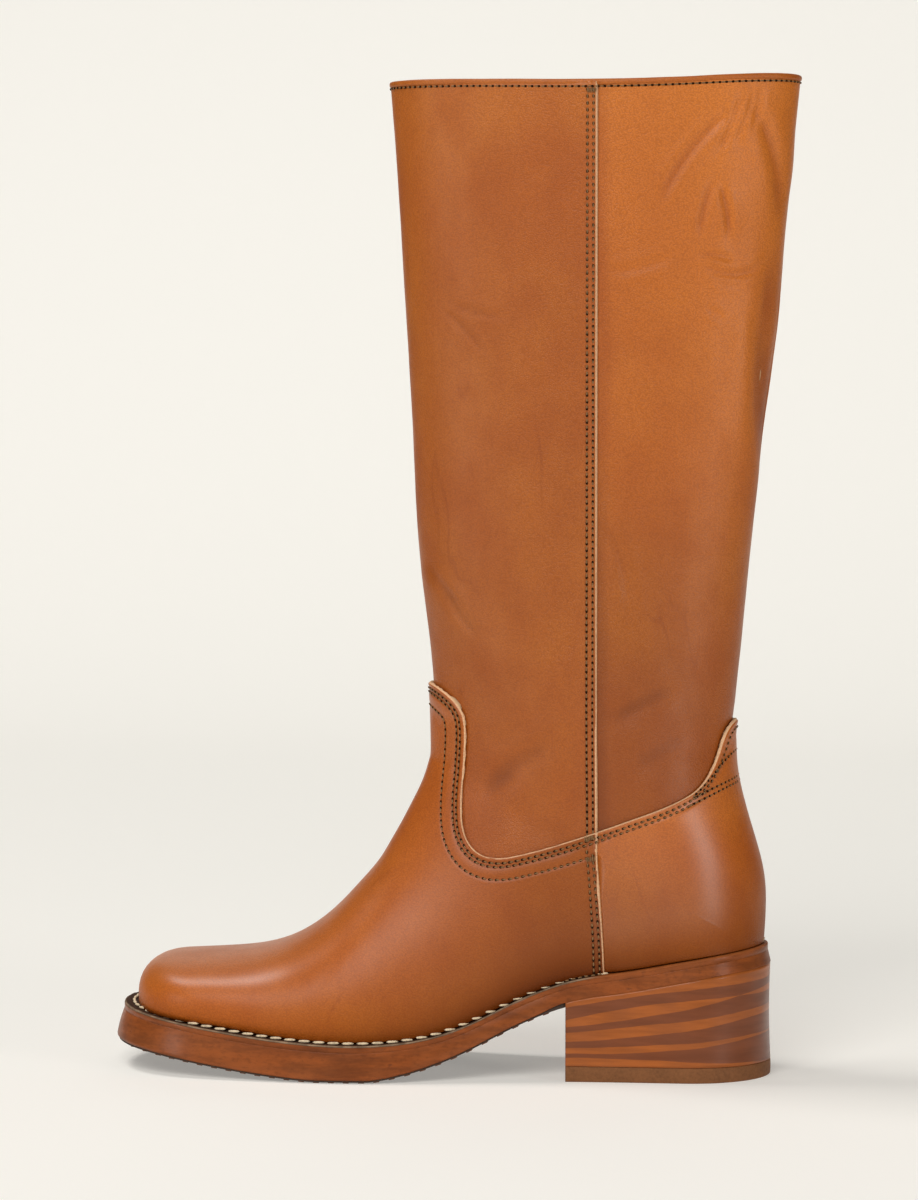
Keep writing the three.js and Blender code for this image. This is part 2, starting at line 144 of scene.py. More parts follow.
# Sections of heel, ankle and leg, which close at the back. back is how full the section
# is behind its largest width.
LEG = table(
    "frontX frontZ backX  backZ  half  seat  crown  back",
    (137.5, 153.0, 275.4, 69.5, 33.3, 0.29, 0.1, 0.0),
    (136.8, 165.0, 275.0, 82.5, 33.9, 0.33, 0.1, 0.01),
    (135.8, 177.0, 271.5, 98.0, 34.5, 0.375, 0.1, 0.03),
    (134.4, 189.0, 266.5, 115.0, 34.9, 0.42, 0.1, 0.05),
    (132.8, 201.0, 263.2, 132.0, 35.1, 0.45, 0.1, 0.07),
    (131.2, 215.0, 263.6, 150.0, 35.1, 0.47, 0.1, 0.08),
    (129.6, 234.0, 266.4, 177.0, 35.0, 0.485, 0.1, 0.09),
    (128.5, 259.0, 269.9, 212.0, 34.9, 0.495, 0.1, 0.1),
    (127.1, 288.0, 274.9, 257.0, 34.8, 0.5, 0.1, 0.1),
    (124.8, 325.0, 281.3, 312.0, 34.8, 0.5, 0.1, 0.1),
    (122.2, 368.0, 286.3, 366.0, 34.7, 0.5, 0.1, 0.1),
    (118.4, 417.0, 291.4, 418.6, 34.5, 0.5, 0.1, 0.1),
)

# Upper edge of the foot leather in the side view: tongue, dip over the instep, rise past
# the side seam and peak at the back.
FOOT_TOP = table(
    "x      z",
    (125.0, 164.4),
    (133.0, 164.6),
    (138.5, 163.4),
    (143.3, 160.9),
    (148.0, 157.4),
    (151.4, 152.6),
    (152.7, 144.0),
    (152.0, 130.0),
    (151.5, 112.0),
    (153.5, 102.0),
    (158.5, 95.6),
    (166.3, 93.1),
    (176.3, 94.4),
    (191.0, 98.4),
    (210.0, 104.8),
    (226.0, 110.8),
    (245.5, 118.8),
    (251.0, 122.2),
    (255.2, 127.0),
    (258.0, 132.5),
    (260.4, 140.0),
    (263.2, 147.0),
    (267.0, 150.8),
    (278.0, 152.0),
)

# Creases of the leather in the side view, on the outer (-1) or inner (1) side: both ends,
# how far the middle bows to the left of the way from end to end, half width and depth.
CREASES = table(
    "side  x0    z0    x1    z1    bow  width depth",
    (-1, 268.5, 407, 234, 363, -4.0, 2.0, 0.9),
    (-1, 270, 414, 257, 383, 1.5, 1.6, 0.75),
    (-1, 274, 415, 265, 388, 1.0, 1.4, 0.75),
    (-1, 277, 415, 271, 392, 0.5, 1.5, 0.6),
    (-1, 258.5, 378, 252, 350, -1.5, 1.6, 0.8),
    (-1, 259, 377, 263.5, 349, 1.5, 1.6, 0.8),
    (-1, 249, 344, 267, 342, 1.5, 1.4, 0.75),
    (-1, 252, 341, 279, 342, -5.0, 1.7, 0.9),
    (-1, 256, 335, 270, 333, -1.5, 1.3, 0.5),
    (-1, 270.5, 411, 283, 353, 5.0, 2.8, 0.95),
    (-1, 281.5, 356, 277.5, 238, -1.5, 3.8, 1.2),
    (-1, 273.5, 330, 272, 262, 2.0, 3.2, 0.7),
    (-1, 254, 322, 262, 318, 0.5, 1.3, 0.5),
    (-1, 211, 338, 244, 346, -2.5, 1.9, 0.4),
    (-1, 212, 235, 223, 193, 3.5, 2.4, 0.6),
    (-1, 139, 209, 161, 183, 0.0, 2.4, 0.5),
    (-1, 134, 214, 152, 196, 1.0, 1.6, 0.4),
    (-1, 141, 324, 165, 300, 1.5, 1.5, 0.45),
    (-1, 143, 326, 173, 319, -1.5, 1.5, 0.4),
    (-1, 156, 121, 195, 145, 0.0, 5.5, 0.9),
    (-1, 163, 137, 188, 155, 0.0, 5.0, 0.6),
    (-1, 213, 150, 246, 166, 1.0, 4.5, 0.75),
    (-1, 222, 131, 250, 146, 0.0, 5.0, 0.55),
    (-1, 160, 118, 176, 128, 0.0, 4.0, 0.5),
    (1, 262, 411, 240, 372, 4.0, 3.2, 0.7),
    (1, 270, 413, 264, 380, -1.0, 2.6, 0.6),
    (1, 276, 352, 272, 240, 1.5, 3.8, 1.0),
    (1, 246, 340, 272, 336, 3.0, 2.8, 0.6),
    (1, 142, 318, 168, 292, -2.0, 2.6, 0.4),
    (1, 158, 122, 196, 147, 0.0, 5.5, 0.8),
    (1, 214, 148, 248, 168, -1.0, 4.5, 0.6),
    (1, 140, 204, 163, 180, 0.0, 2.8, 0.4),
)

# Height of the heel's glued layers over the floor at the breast, 24 mm and 47 mm behind
# it, from the lowest joint up; light and dark leather take turns.
STACK_JOINTS = table(
    "breast near  far",
    (10.1, 9.9, 9.2),
    (11.8, 12.3, 14.0),
    (14.0, 15.1, 16.6),
    (16.6, 18.6, 21.5),
    (20.4, 23.0, 25.8),
    (22.8, 26.0, 30.2),
    (25.8, 30.9, 34.2),
    (31.1, 35.3, 38.5),
)
STACK_NEAR = 24.0
STACK_FAR = 47.0
JOINT_BLUR = 0.00018  # metres to each side over which two layers' colours meet


# --- Curves and the last's surface -----------------------------------------------------


class Spline:
    """Natural cubic spline: a cubic between neighbours, with a steady second derivative
    that is zero at both ends."""

    def __init__(self, at, value):
        gap = np.diff(at)
        inner = np.arange(1, len(at) - 1)
        matrix = np.eye(len(at))
        matrix[inner, inner] = 2 * (gap[:-1] + gap[1:])
        matrix[inner, inner - 1] = gap[:-1]
        matrix[inner, inner + 1] = gap[1:]
        right = np.zeros(len(at))
        right[1:-1] = 6 * np.diff(np.diff(value) / gap)
        self.at, self.value = np.asarray(at, float), np.asarray(value, float)
        self.bend = np.linalg.solve(matrix, right)

    def __call__(self, x):
        i = np.clip(np.searchsorted(self.at, x), 1, len(self.at) - 1)
        width = self.at[i] - self.at[i - 1]
        a = (self.at[i] - x) / width
        b = 1 - a
        curve = (a**3 - a) * self.bend[i - 1] + (b**3 - b) * self.bend[i]
        return a * self.value[i - 1] + b * self.value[i] + curve * width**2 / 6


def sole_column(name):
    return Spline(SOLE["x"], SOLE[name])


sole_half, sole_centre = sole_column("half"), sole_column("centre")
welt_inset, feather_inset = sole_column("welt"), sole_column("feather")
welt_top, tread_spline = sole_column("top"), sole_column("bottom")


def tread_bottom(x):
    return np.maximum(0.0, tread_spline(x))


def feather(x):
    return welt_top(x) + GAP


def flush(x):
    return np.zeros_like(np.asarray(x, float))


def lerp(a, b, share):
    return a + (b - a) * share


def smooth(share):
    """0 below 0, 1 above 1 and an S-shaped cubic between."""
    q = np.clip(share, 0, 1)
    return q * q * (3 - 2 * q)


def bump(distance, width):
    """Bell curve: 1 at distance 0, about a third at width."""
    return np.exp(-((distance / width) ** 2))


def cap(share, squareness):
    """Rounding of an outline's end: a quarter circle made fuller by squareness."""
    sine = 1 - np.clip(share, 0, 1)
    return np.sqrt(1 - sine**2) * (1 + squareness * sine**2)


class Outline:
    """The sole's outline taken in by inset(x): its start, end and half width at x."""

    def __init__(self, inset):
        self.inset = inset
        self.start = inset(0.0)
        self.end = SOLE_LENGTH - inset(SOLE_LENGTH)

    def half(self, x):
        toe = cap((x - self.start) / (TOE_ROUND - self.start), TOE_SQUARENESS)
        heel = cap((self.end - x) / (HEEL_ROUND - (SOLE_LENGTH - self.end)), 0.0)
        return (sole_half(x) - self.inset(x)) * toe * heel


FEET = len(FOOT["half"]) - 1  # the foot's section that ends at the back of the heel
FRONT_X = np.concatenate([FOOT["frontX"], LEG["frontX"]])
FRONT_Z = np.concatenate([FOOT["frontZ"], LEG["frontZ"]])
LOW_X = np.concatenate([FOOT["featherX"], LEG["backX"]])
LOW_Z = np.concatenate([feather(FOOT["featherX"]), LEG["backZ"]])
MOVE = np.maximum(
    np.hypot(np.diff(FRONT_X), np.diff(FRONT_Z)), np.hypot(np.diff(LOW_X), np.diff(LOW_Z))
)
STATION = np.concatenate([[0.0], np.cumsum(MOVE)])
HEEL_STATION = STATION[FEET]
COLLAR_STATION = STATION[-1]


def along(name, foot_only=0.0, leg_only=0.0):
    """Spline of a column over the stations; a table without it gives the number."""
    foot = FOOT.get(name, np.full(len(FOOT["half"]), foot_only))
    leg = LEG.get(name, np.full(len(LEG["half"]), leg_only))
    return Spline(STATION, np.concatenate([foot, leg]))


front_x, front_z = Spline(STATION, FRONT_X), Spline(STATION, FRONT_Z)
half_width, seat_share = along("half"), along("seat")
crown, ridge, back_fullness = along("crown"), along("ridge"), along("back")
FEATHER_RIM = Outline(feather_inset)
RIM_SHARE = (FOOT["featherX"] - FEATHER_RIM.start) / (FEATHER_RIM.end - FEATHER_RIM.start)
feather_angle = Spline(STATION[: FEET + 1], np.arccos(1 - 2 * np.minimum(1, RIM_SHARE)))
back_x = Spline(STATION[FEET:], LOW_X[FEET:])
back_z = Spline(STATION[FEET:], LOW_Z[FEET:])


def lifted(line_x, line_z, t, lift, turn):
    """Point of a line of the side view, moved by lift along the line's normal."""
    step = 0.5
    run = line_x(t + step) - line_x(t - step)
    rise = line_z(t + step) - line_z(t - step)
    scale = lift * turn / np.hypot(run, rise)
    return line_x(t) - rise * scale, line_z(t) + run * scale


def cut_angle(narrow, fullness):
    """Angle under the widest place at which a section has narrowed to a share of it."""
    low, high = np.zeros_like(narrow), np.full_like(narrow, math.pi / 2)
    for _ in range(40):
        middle = (low + high) / 2
        wide = np.cos(middle) * (1 + fullness * np.sin(middle) ** 2) > narrow
        low, high = np.where(wide, middle, low), np.where(wide, high, middle)
    return (low + high) / 2


def section(t, lift):
    """A section's line in the side view and the numbers that give its width."""
    t, lift = np.broadcast_arrays(np.asarray(t, float), np.asarray(lift, float))
    foot = t < HEEL_STATION
    wide = half_width(t) + lift
    fullness = back_fullness(t)
    rim = Outline(lambda x: feather_inset(x) - lift)
    turn = feather_angle(np.minimum(t, HEEL_STATION))
    rim_x = lerp(rim.start, rim.end, (1 - np.cos(turn)) / 2)
    leg_x, leg_z = lifted(back_x, back_z, np.maximum(t, HEEL_STATION), lift, -1)
    leg_z = np.maximum(leg_z, feather(leg_x))
    narrow = np.clip(rim.half(rim_x) / wide, 0, 1)
    cut = np.where(foot, cut_angle(narrow, fullness), math.pi / 2)
    low_x, low_z = np.where(foot, rim_x, leg_x), np.where(foot, feather(rim_x), leg_z)
    top_x, top_z = lifted(front_x, front_z, t, lift, 1)
    length = np.hypot(top_x - low_x, top_z - low_z)
    return {
        "low_x": low_x, "low_z": low_z, "top_x": top_x, "top_z": top_z, "cut": cut,
        "wide": wide, "fullness": fullness, "crown": crown(t), "ridge": ridge(t),
        "centre": np.where(foot, sole_centre(rim_x), 0.0), "length": length,
        "seat": seat_share(t) * length,
    }


def surface(t, v, lift=0.0):
    """Point of the last's surface lifted by lift. t is the station along the boot, v runs
    round the section from the outer lower end (-1) over the front (0) to the inner lower
    end (1): over its widest place an ellipse made fuller by crown, under it an ellipse
    that is cut at the feather or closes at the back."""
    t, v, lift = np.broadcast_arrays(np.asarray(t, float), v, lift)
    s = section(t, lift)
    angle = math.pi / 2 - np.abs(v) * (math.pi / 2 + s["cut"])
    sine = np.sin(angle)
    above = angle > 0
    reach = np.where(above, s["length"] - s["seat"], s["seat"] / np.sin(s["cut"]))
    at = (s["seat"] + reach * sine) / s["length"]
    full = np.where(above, s["crown"], s["fullness"])
    width = s["wide"] * np.cos(angle) * (1 + full * sine**2)
    x = lerp(s["low_x"], s["top_x"], at)
    y = lerp(s["centre"], s["ridge"], at) + np.sign(v) * width
    z = lerp(s["low_z"], s["top_z"], at)
    return np.stack([x, y, z], -1)


def turn_at(s, at):
    """The |v| at which a section stands at a share of its line."""
    rise = at * s["length"] - s["seat"]
    reach = np.where(rise > 0, s["length"] - s["seat"], s["seat"] / np.sin(s["cut"]))
    angle = np.arcsin(np.clip(rise / reach, -1, 1))
    return np.clip((math.pi / 2 - angle) / (math.pi / 2 + s["cut"]), 0, 1)


def locate(x, z, lift):
    """Station and |v| of the surface point seen at x, z in the side view: the station by
    halving, since each point lies on one section's line."""
    low, high = np.zeros_like(x), np.full_like(x, COLLAR_STATION)
    for _ in range(45):
        t = (low + high) / 2
        s = section(t, lift)
        run_x, run_z = s["top_x"] - s["low_x"], s["top_z"] - s["low_z"]
        behind = run_x * (z - s["low_z"]) - run_z * (x - s["low_x"]) < 0
        low, high = np.where(behind, t, low), np.where(behind, high, t)
    at = ((x - s["low_x"]) * run_x + (z - s["low_z"]) * run_z) / s["length"] ** 2
    return t, turn_at(s, at)


def side_seam(t):
    """x of the side seam: straight up the leg, and a little to the rear down the foot."""
    return SIDE_SEAM + 3.0 * smooth((HEEL_STATION - t) / 60)


def seam_turn(t, lift):
    """The |v| at which a section crosses the side seam."""
    s = section(t, lift)
    return turn_at(s, (side_seam(t) - s["low_x"]) / (s["top_x"] - s["low_x"]))


def way_along(points):
    """How far along a row each of its points lies from the first."""
    return np.concatenate([[0], np.cumsum(np.linalg.norm(np.diff(points, axis=0), axis=1))])


def pick(want, at, columns):
    """Columns of numbers known at places along a row, worked out at the wanted places."""
    return np.stack([np.interp(want, at, column) for column in columns.T], -1)


def resample(path, steps):
    """Points of a path at shares of its length. path is a list of columns, of which the
    last three are x, y and z."""
    at = way_along(path[:, -3:])
    return pick(np.asarray(steps) * at[-1], at, path)


def on_surface(t, v, lift):
    """Columns t, v, x, y, z of points of the surface."""
    return np.column_stack([t, v, surface(t, v, lift)])


def side_view_offset(curve, distance):
    """A curve of the side view moved down and forward off its own line by distance."""
    way = np.gradient(curve, axis=0)
    way /= np.linalg.norm(way, axis=1, keepdims=True)
    return curve + distance * np.column_stack([way[:, 1], -way[:, 0]])


def foot_top_curve(count=1200):
    """The upper edge of the foot leather as a smooth curve of the side view."""
    x, z = FOOT_TOP["x"], FOOT_TOP["z"]
    at = way_along(np.column_stack([x, z]))
    want = np.linspace(0, at[-1], count)
    return np.column_stack([Spline(at, x)(want), Spline(at, z)(want)])


TOP_CURVE = foot_top_curve()


def edge_distance(points):
    """Distance in the side view of each point from the foot leather's upper edge."""
    flat = points.reshape(-1, 3)[:, ::2]
    best = np.full(len(flat), np.inf)
    for chunk in np.array_split(TOP_CURVE[::3], 8):
        gap = flat[:, None, :] - chunk[None]
        best = np.minimum(best, np.sqrt((gap**2).sum(-1).min(1)))
    return best.reshape(points.shape[:-1])


# --- Relief of the leather -------------------------------------------------------------


def crease_relief(points):
    """Sum of the creases: each a soft trough with two low ridges beside it, fading out to
    both ends, along a line of the side view that bows like a parabola."""
    x, y, z = points[..., 0], points[..., 1], points[..., 2]
    total = np.zeros(x.shape)
    for i in range(len(CREASES["side"])):
        side, x0, z0, x1, z1, bow, width, depth = (CREASES[k][i] for k in CREASES)
        length = math.hypot(x1 - x0, z1 - z0)
        ux, uz = (x1 - x0) / length, (z1 - z0) / length
        u = ((x - x0) * ux + (z - z0) * uz) / length
        w = (z - z0) * ux - (x - x0) * uz - bow * 4 * u * (1 - u)
        fade = smooth(u / 0.3) * smooth((1 - u) / 0.3) * (side * y > 0)
        ridges = bump(w - 1.9 * width, 1.3 * width) + bump(w + 1.9 * width, 1.3 * width)
        total += depth * fade * (0.45 * ridges - bump(w, width))
    return total


def sway(points, size, seed):
    """Even, gentle unevenness: a sum of eight plane waves with seeded directions."""
    rng = np.random.default_rng(seed)
    total = np.zeros(points.shape[:-1])
    for _ in range(8):
        way = rng.normal(size=3)
        way *= 2 * math.pi / (size * rng.uniform(0.7, 1.5) * np.linalg.norm(way))
        total += np.sin(points @ way + rng.uniform(0, 2 * math.pi))
    return total / 8


def normals(points):
    """Unit normals of a grid of points, from its differences along rows and columns."""
    across = np.gradient(points, axis=1)
    down = np.gradient(points, axis=0)
    normal = np.cross(across, down)
    length = np.linalg.norm(normal, axis=-1, keepdims=True)
    return normal / np.maximum(length, 1e-9)


def outward(points, normal):
    """The normals, or all their opposites where these point away from an upright line
    through the middle of the grid."""
    off = points[..., :2] - (points[..., 0].mean(), 0.0)
    return normal * np.sign((off * normal[..., :2]).sum())


# --- Meshes ----------------------------------------------------------------------------

SOLE_X = np.linspace(0, SOLE_LENGTH, 561)
OUTER_Y = (sole_centre(SOLE_X) - Outline(flush).half(SOLE_X)).min()
SOLE_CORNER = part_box("outsole")[0]
SHIFT = np.array([SOLE_CORNER.x / MM, SOLE_CORNER.y / MM - OUTER_Y, 0.0])


def add_mesh(name, points, faces, materials, index=None, smooth_faces=True):
    """Mesh object from points in millimetres and an array of faces."""
    mesh = bpy.data.meshes.new(name)
    place = (np.asarray(points, float).reshape(-1, 3) + SHIFT) * MM
    faces = np.asarray(faces, np.int32)
    corners = faces.shape[1]
    mesh.vertices.add(len(place))
    mesh.vertices.foreach_set("co", place.ravel())
    mesh.loops.add(faces.size)
    mesh.loops.foreach_set("vertex_index", faces.ravel())
    mesh.polygons.add(len(faces))
    mesh.polygons.foreach_set("loop_start", np.arange(0, faces.size, corners, dtype=np.int32))
    if index is not None:
        mesh.polygons.foreach_set("material_index", np.asarray(index, np.int32))
    mesh.polygons.foreach_set("use_smooth", np.full(len(faces), smooth_faces))
    for material in materials:
        mesh.materials.append(material)
    mesh.update(calc_edges=True)
    mesh.validate()
    piece = bpy.data.objects.new(name, mesh)
    bpy.context.scene.collection.objects.link(piece)
    return piece


def grid_faces(rows, columns, wrap_rows=False, wrap_columns=False):
    """Quads of a grid, each the four neighbours around a cell."""
    r = np.arange(rows if wrap_rows else rows - 1)[:, None]
    c = np.arange(columns if wrap_columns else columns - 1)[None]
    below, right = (r + 1) % rows, (c + 1) % columns
    quads = [r * columns + c, below * columns + c, below * columns + right, r * columns + right]
    return np.stack(quads, -1).reshape(-1, 4)


def copied_faces(faces, copies, points):
    """The faces of a shape of so many points, repeated for each of its copies."""
    return (faces[None] + (np.arange(copies) * points)[:, None, None]).reshape(-1, 4)


def add_attribute(piece, name, values):
    """A number for each vertex, which materials read by name."""
    layer = piece.data.attributes.new(name, "FLOAT", "POINT")
    layer.data.foreach_set("value", np.asarray(values, float).ravel())


def merge_doubles(piece, distance=0.01):
    """Joins vertices that share a place and turns the faces outwards."""
    shape = bmesh.new()
    shape.from_mesh(piece.data)
    bmesh.ops.remove_doubles(shape, verts=shape.verts, dist=distance * MM)
    bmesh.ops.dissolve_degenerate(shape, edges=shape.edges, dist=1e-7)
    bmesh.ops.recalc_face_normals(shape, faces=shape.faces)
    shape.to_mesh(piece.data)
    shape.free()


def solidify(piece, thickness, inner, rim):
    """Gives a sheet its thickness inwards, with materials for its back and its rim."""
    wall = piece.modifiers.new("wall", "SOLIDIFY")
    wall.thickness = thickness * MM
    wall.offset = -1
    wall.material_offset = inner
    wall.material_offset_rim = rim
    wall.use_quality_normals = True


def finish_piece(piece, slot, *nodes):
    """Makes a piece ride on the boot and stand for CAD nodes."""
    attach(piece, "root")
    if nodes:
        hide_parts(*nodes)


# --- Materials -------------------------------------------------------------------------


class Socket:
    """A shader value: arithmetic on it adds Math nodes."""

    def __init__(self, sheet, link):
        self.sheet, self.link = sheet, link

    def maths(self, operation, *others, clamp=False):
        return self.sheet.node(
            "ShaderNodeMath", {"operation": operation, "use_clamp": clamp},
            dict(enumerate((self, *others))),
        )

    def __add__(self, other):
        return self.maths("ADD", other)

    def __radd__(self, other):
        return self.maths("ADD", other)

    def __sub__(self, other):
        return self.maths("SUBTRACT", other)

    def __rsub__(self, other):
        return self.sheet.node(
            "ShaderNodeMath", {"operation": "SUBTRACT"}, {0: other, 1: self}
        )

    def __mul__(self, other):
        return self.maths("MULTIPLY", other)

    def __rmul__(self, other):
        return self.maths("MULTIPLY", other)

    def clamp(self):
        return self.maths("ADD", 0.0, clamp=True)


class Sheet:
    """A material's nodes: one Principled shader and what feeds it. The node sockets of
    a colour mix are its share (0), its two colours (6 and 7) and its result (2)."""

    def __init__(self, name, **constants):
        self.material = bpy.data.materials.new(name)
        self.material.use_nodes = True
        self.tree = self.material.node_tree
        self.shader = self.tree.nodes["Principled BSDF"]
        for key, value in constants.items():
            self.shader.inputs[key.replace("_", " ")].default_value = value
        self.place = self.node("ShaderNodeTexCoord", {}, {}, "Object")

    def node(self, kind, settings, inputs, output=0):
        """A node of that type: its settings first, then the values or links of its
        sockets. Returns one of its outputs."""
        made = self.tree.nodes.new(kind)
        for key, value in settings.items():
            setattr(made, key, value)
        for key, value in inputs.items():
            if isinstance(value, Socket):
                self.tree.links.new(value.link, made.inputs[key])
            else:
                made.inputs[key].default_value = value
        return Socket(self, made.outputs[output])

    def noise(self, size, detail=2.0, rough=0.5, place=None, distortion=0.0):
        """Noise whose patches are about size metres wide."""
        return self.node(
            "ShaderNodeTexNoise", {},
            {"Vector": place or self.place, "Scale": 1 / size, "Detail": detail,
             "Roughness": rough, "Distortion": distortion},
        )

    def stretch(self, scale, turn=(0, 0, 0)):
        """Object coordinates scaled and turned by a Mapping node."""
        return self.node(
            "ShaderNodeMapping", {"vector_type": "POINT"},
            {"Vector": self.place, "Scale": scale, "Rotation": turn},
        )

    def axis(self, output):
        """X, Y or Z of the object coordinates."""
        return self.node("ShaderNodeSeparateXYZ", {}, {"Vector": self.place}, output)

    def attribute(self, name):
        """A number that each vertex carries."""
        return self.node("ShaderNodeAttribute", {"attribute_name": name}, {}, "Fac")

    def ramp(self, value, low, high):
        """0 where value is under low, 1 over high, an S-shaped rise between."""
        return self.node(
            "ShaderNodeMapRange", {"interpolation_type": "SMOOTHSTEP"},
            {"Value": value, "From Min": low, "From Max": high, "To Min": 0.0, "To Max": 1.0},
        )

    def mix(self, share, a, b):
        """Mix of two colours."""
        return self.node("ShaderNodeMix", {"data_type": "RGBA"}, {0: share, 6: a, 7: b}, 2)

    def shades(self, share, colour, factor):
        """The colour where share is 0, and the colour times factor where it is 1."""
        return self.mix(share, rgb(colour), scaled(colour, factor))

    def feed(self, name, value):
        """Links a value to the shader's socket of that name."""
        self.tree.links.new(value.link, self.shader.inputs[name])

    def bump(self, height, distance, strength=1.0, under=None):
        """A Bump node: height 1 stands distance metres over height 0."""
        inputs = {"Height": height, "Distance": distance, "Strength": strength}
        if under:
            inputs["Normal"] = under
        return self.node("ShaderNodeBump", {}, inputs)


def rgb(colour):
    return (*colour, 1.0)


def scaled(colour, factor):
    return (*(min(1.0, c * factor) for c in colour), 1.0)


def leather_material(name, colours, gloss, wax):
    """Smooth waxed leather: cloudy tone, faint veins, fine pebble grain with darker
    valleys and a soft, slightly uneven shine. The attribute tone is painted light and
    shade, with some burnished leather over the welt: it darkens (to -1) or lightens (to
    1), and polish (0 to 1) is where the wax lies."""
    sheet = Sheet(name, Specular_IOR_Level=gloss, Coat_Roughness=0.38, Coat_IOR=1.56)
    base, dark, light = (rgb(c) for c in (
        colours.leather, colours.leather_dark, colours.leather_light))
    cloud = sheet.ramp(sheet.noise(0.085, 3.0, 0.55), 0.33, 0.7)
    mottle = sheet.ramp(sheet.noise(0.019, 4.0, 0.6, sheet.stretch((1.0, 1.0, 0.6))), 0.3, 0.75)
    colour = sheet.mix(cloud * 0.6, base, light)
    colour = sheet.mix(mottle * 0.42, colour, dark)
    streak = sheet.noise(0.03, 2.0, 0.5, sheet.stretch((1.0, 1.0, 0.4), (0.0, 0.6, 0.0)), 0.6)
    vein = 1 - sheet.ramp((streak - 0.5).maths("ABSOLUTE"), 0.0, 0.02)
    vein = vein * sheet.ramp(sheet.noise(0.045, 2.0), 0.5, 0.68)
    colour = sheet.mix(vein * 0.4, colour, scaled(colours.leather_dark, 0.85))
    # Painted light and shade: tone turns the colour towards deep dark leather where it is
    # negative and towards a pale painted highlight where it is positive.
    tone = sheet.attribute("tone")
    colour = sheet.mix((tone * -1.0).clamp(), colour, scaled(colours.leather_dark, 0.3))
    colour = sheet.mix(tone.clamp(), colour, scaled(colours.leather_light, 1.6))
    cells = sheet.node(
        "ShaderNodeTexVoronoi", {"feature": "SMOOTH_F1"},
        {"Vector": sheet.stretch((1.0, 1.0, 1.3)), "Scale": 1 / 0.00072, "Smoothness": 0.4,
         "Randomness": 1.0},
    )
    speck = sheet.noise(0.0009, 3.0, 0.75)
    grain = cells + 0.7 * speck
    colour = sheet.mix(sheet.ramp(grain, 0.5, 1.15) * 0.32, colour,
                       scaled(colours.leather_dark, 0.5))
    sheet.feed("Base Color", colour)
    sheet.feed("Roughness", 0.36 + 0.1 * mottle + 0.1 * speck - 0.05 * cloud)
    sheet.feed("Coat Weight", ((wax - 0.1 * mottle) * sheet.attribute("polish")).clamp())
    soft = sheet.noise(0.0045, 3.0, 0.6)
    under = sheet.bump(soft, 0.0003, 0.45)
    sheet.feed("Normal", sheet.bump(-1.0 * grain, 0.0002, 0.7, under))
    return sheet.material


def raw_edge_material(colours):
    """Cut edge of leather: pale, matt and fibrous."""
    sheet = Sheet("raw_edge", Specular_IOR_Level=0.25)
    fibre = sheet.noise(0.0009, 3.0, 0.7)
    sheet.feed("Base Color", sheet.shades(sheet.ramp(fibre, 0.3, 0.75), colours.raw_edge, 0.72))
    sheet.feed("Roughness", 0.7 + 0.2 * fibre)
    sheet.feed("Normal", sheet.bump(fibre, 0.00015, 0.6))
    return sheet.material


def lining_material(colours):
    """Natural lining leather: matt, with a fine nap."""
    sheet = Sheet("lining", Specular_IOR_Level=0.3)
    cloud = sheet.ramp(sheet.noise(0.04, 3.0), 0.3, 0.7)
    nap = sheet.noise(0.0011, 3.0, 0.7)
    sheet.feed("Base Color", sheet.shades(cloud * 0.6, colours.lining, 0.78))
    sheet.feed("Roughness", 0.72 + 0.15 * nap)
    sheet.feed("Normal", sheet.bump(nap, 0.00012, 0.5))
    return sheet.material


def thread_material(name, colour, twist):
    """Waxed thread with fine uneven strands, each about twist metres wide."""
    sheet = Sheet(name, Specular_IOR_Level=0.15)
    strand = sheet.noise(twist, 2.0, 0.6)
    sheet.feed("Base Color", sheet.shades(sheet.ramp(strand, 0.35, 0.7), colour, 0.66))
    sheet.feed("Roughness", 0.55 + 0.2 * strand)
    sheet.feed("Normal", sheet.bump(strand, 0.0001, 0.6))
    return sheet.material


def hole_material():
    """Needle holes: nearly black leather in shadow."""
    sheet = Sheet("needle_holes", Specular_IOR_Level=0.05)
    sheet.feed("Base Color", sheet.mix(
        sheet.noise(0.001), (0.012, 0.005, 0.002, 1), (0.03, 0.012, 0.005, 1)))
    sheet.feed("Roughness", 0.8 + 0.1 * sheet.noise(0.002))
    return sheet.material


def welt_material(colours):
    """Welt: dark brown and rough round the foot, red brown and smoother at the heel, with
    a greyish trimmed outer edge."""
    sheet = Sheet("welt", Specular_IOR_Level=0.15)
    fibre = sheet.noise(0.0011, 3.0, 0.75)
    patch = sheet.noise(0.006, 3.0, 0.6)
    heel = sheet.ramp(sheet.axis("X"), *(x * MM + SHIFT[0] * MM for x in (203.0, 214.0)))
    dark = sheet.shades(sheet.ramp(fibre, 0.3, 0.7), colours.welt, 0.45)
    worn = sheet.shades(sheet.ramp(patch, 0.35, 0.65), colours.welt_edge, 0.45)
    rand = sheet.shades(sheet.ramp(patch, 0.3, 0.7), colours.rand, 0.75)
    foot = sheet.mix(sheet.attribute("trim"), dark, worn)
    sheet.feed("Base Color", sheet.mix(heel, foot, rand))
    sheet.feed("Roughness", 0.78 - 0.25 * heel + 0.12 * fibre)
    sheet.feed("Normal", sheet.bump(fibre + 0.6 * patch, 0.00035, 0.7))
    return sheet.material


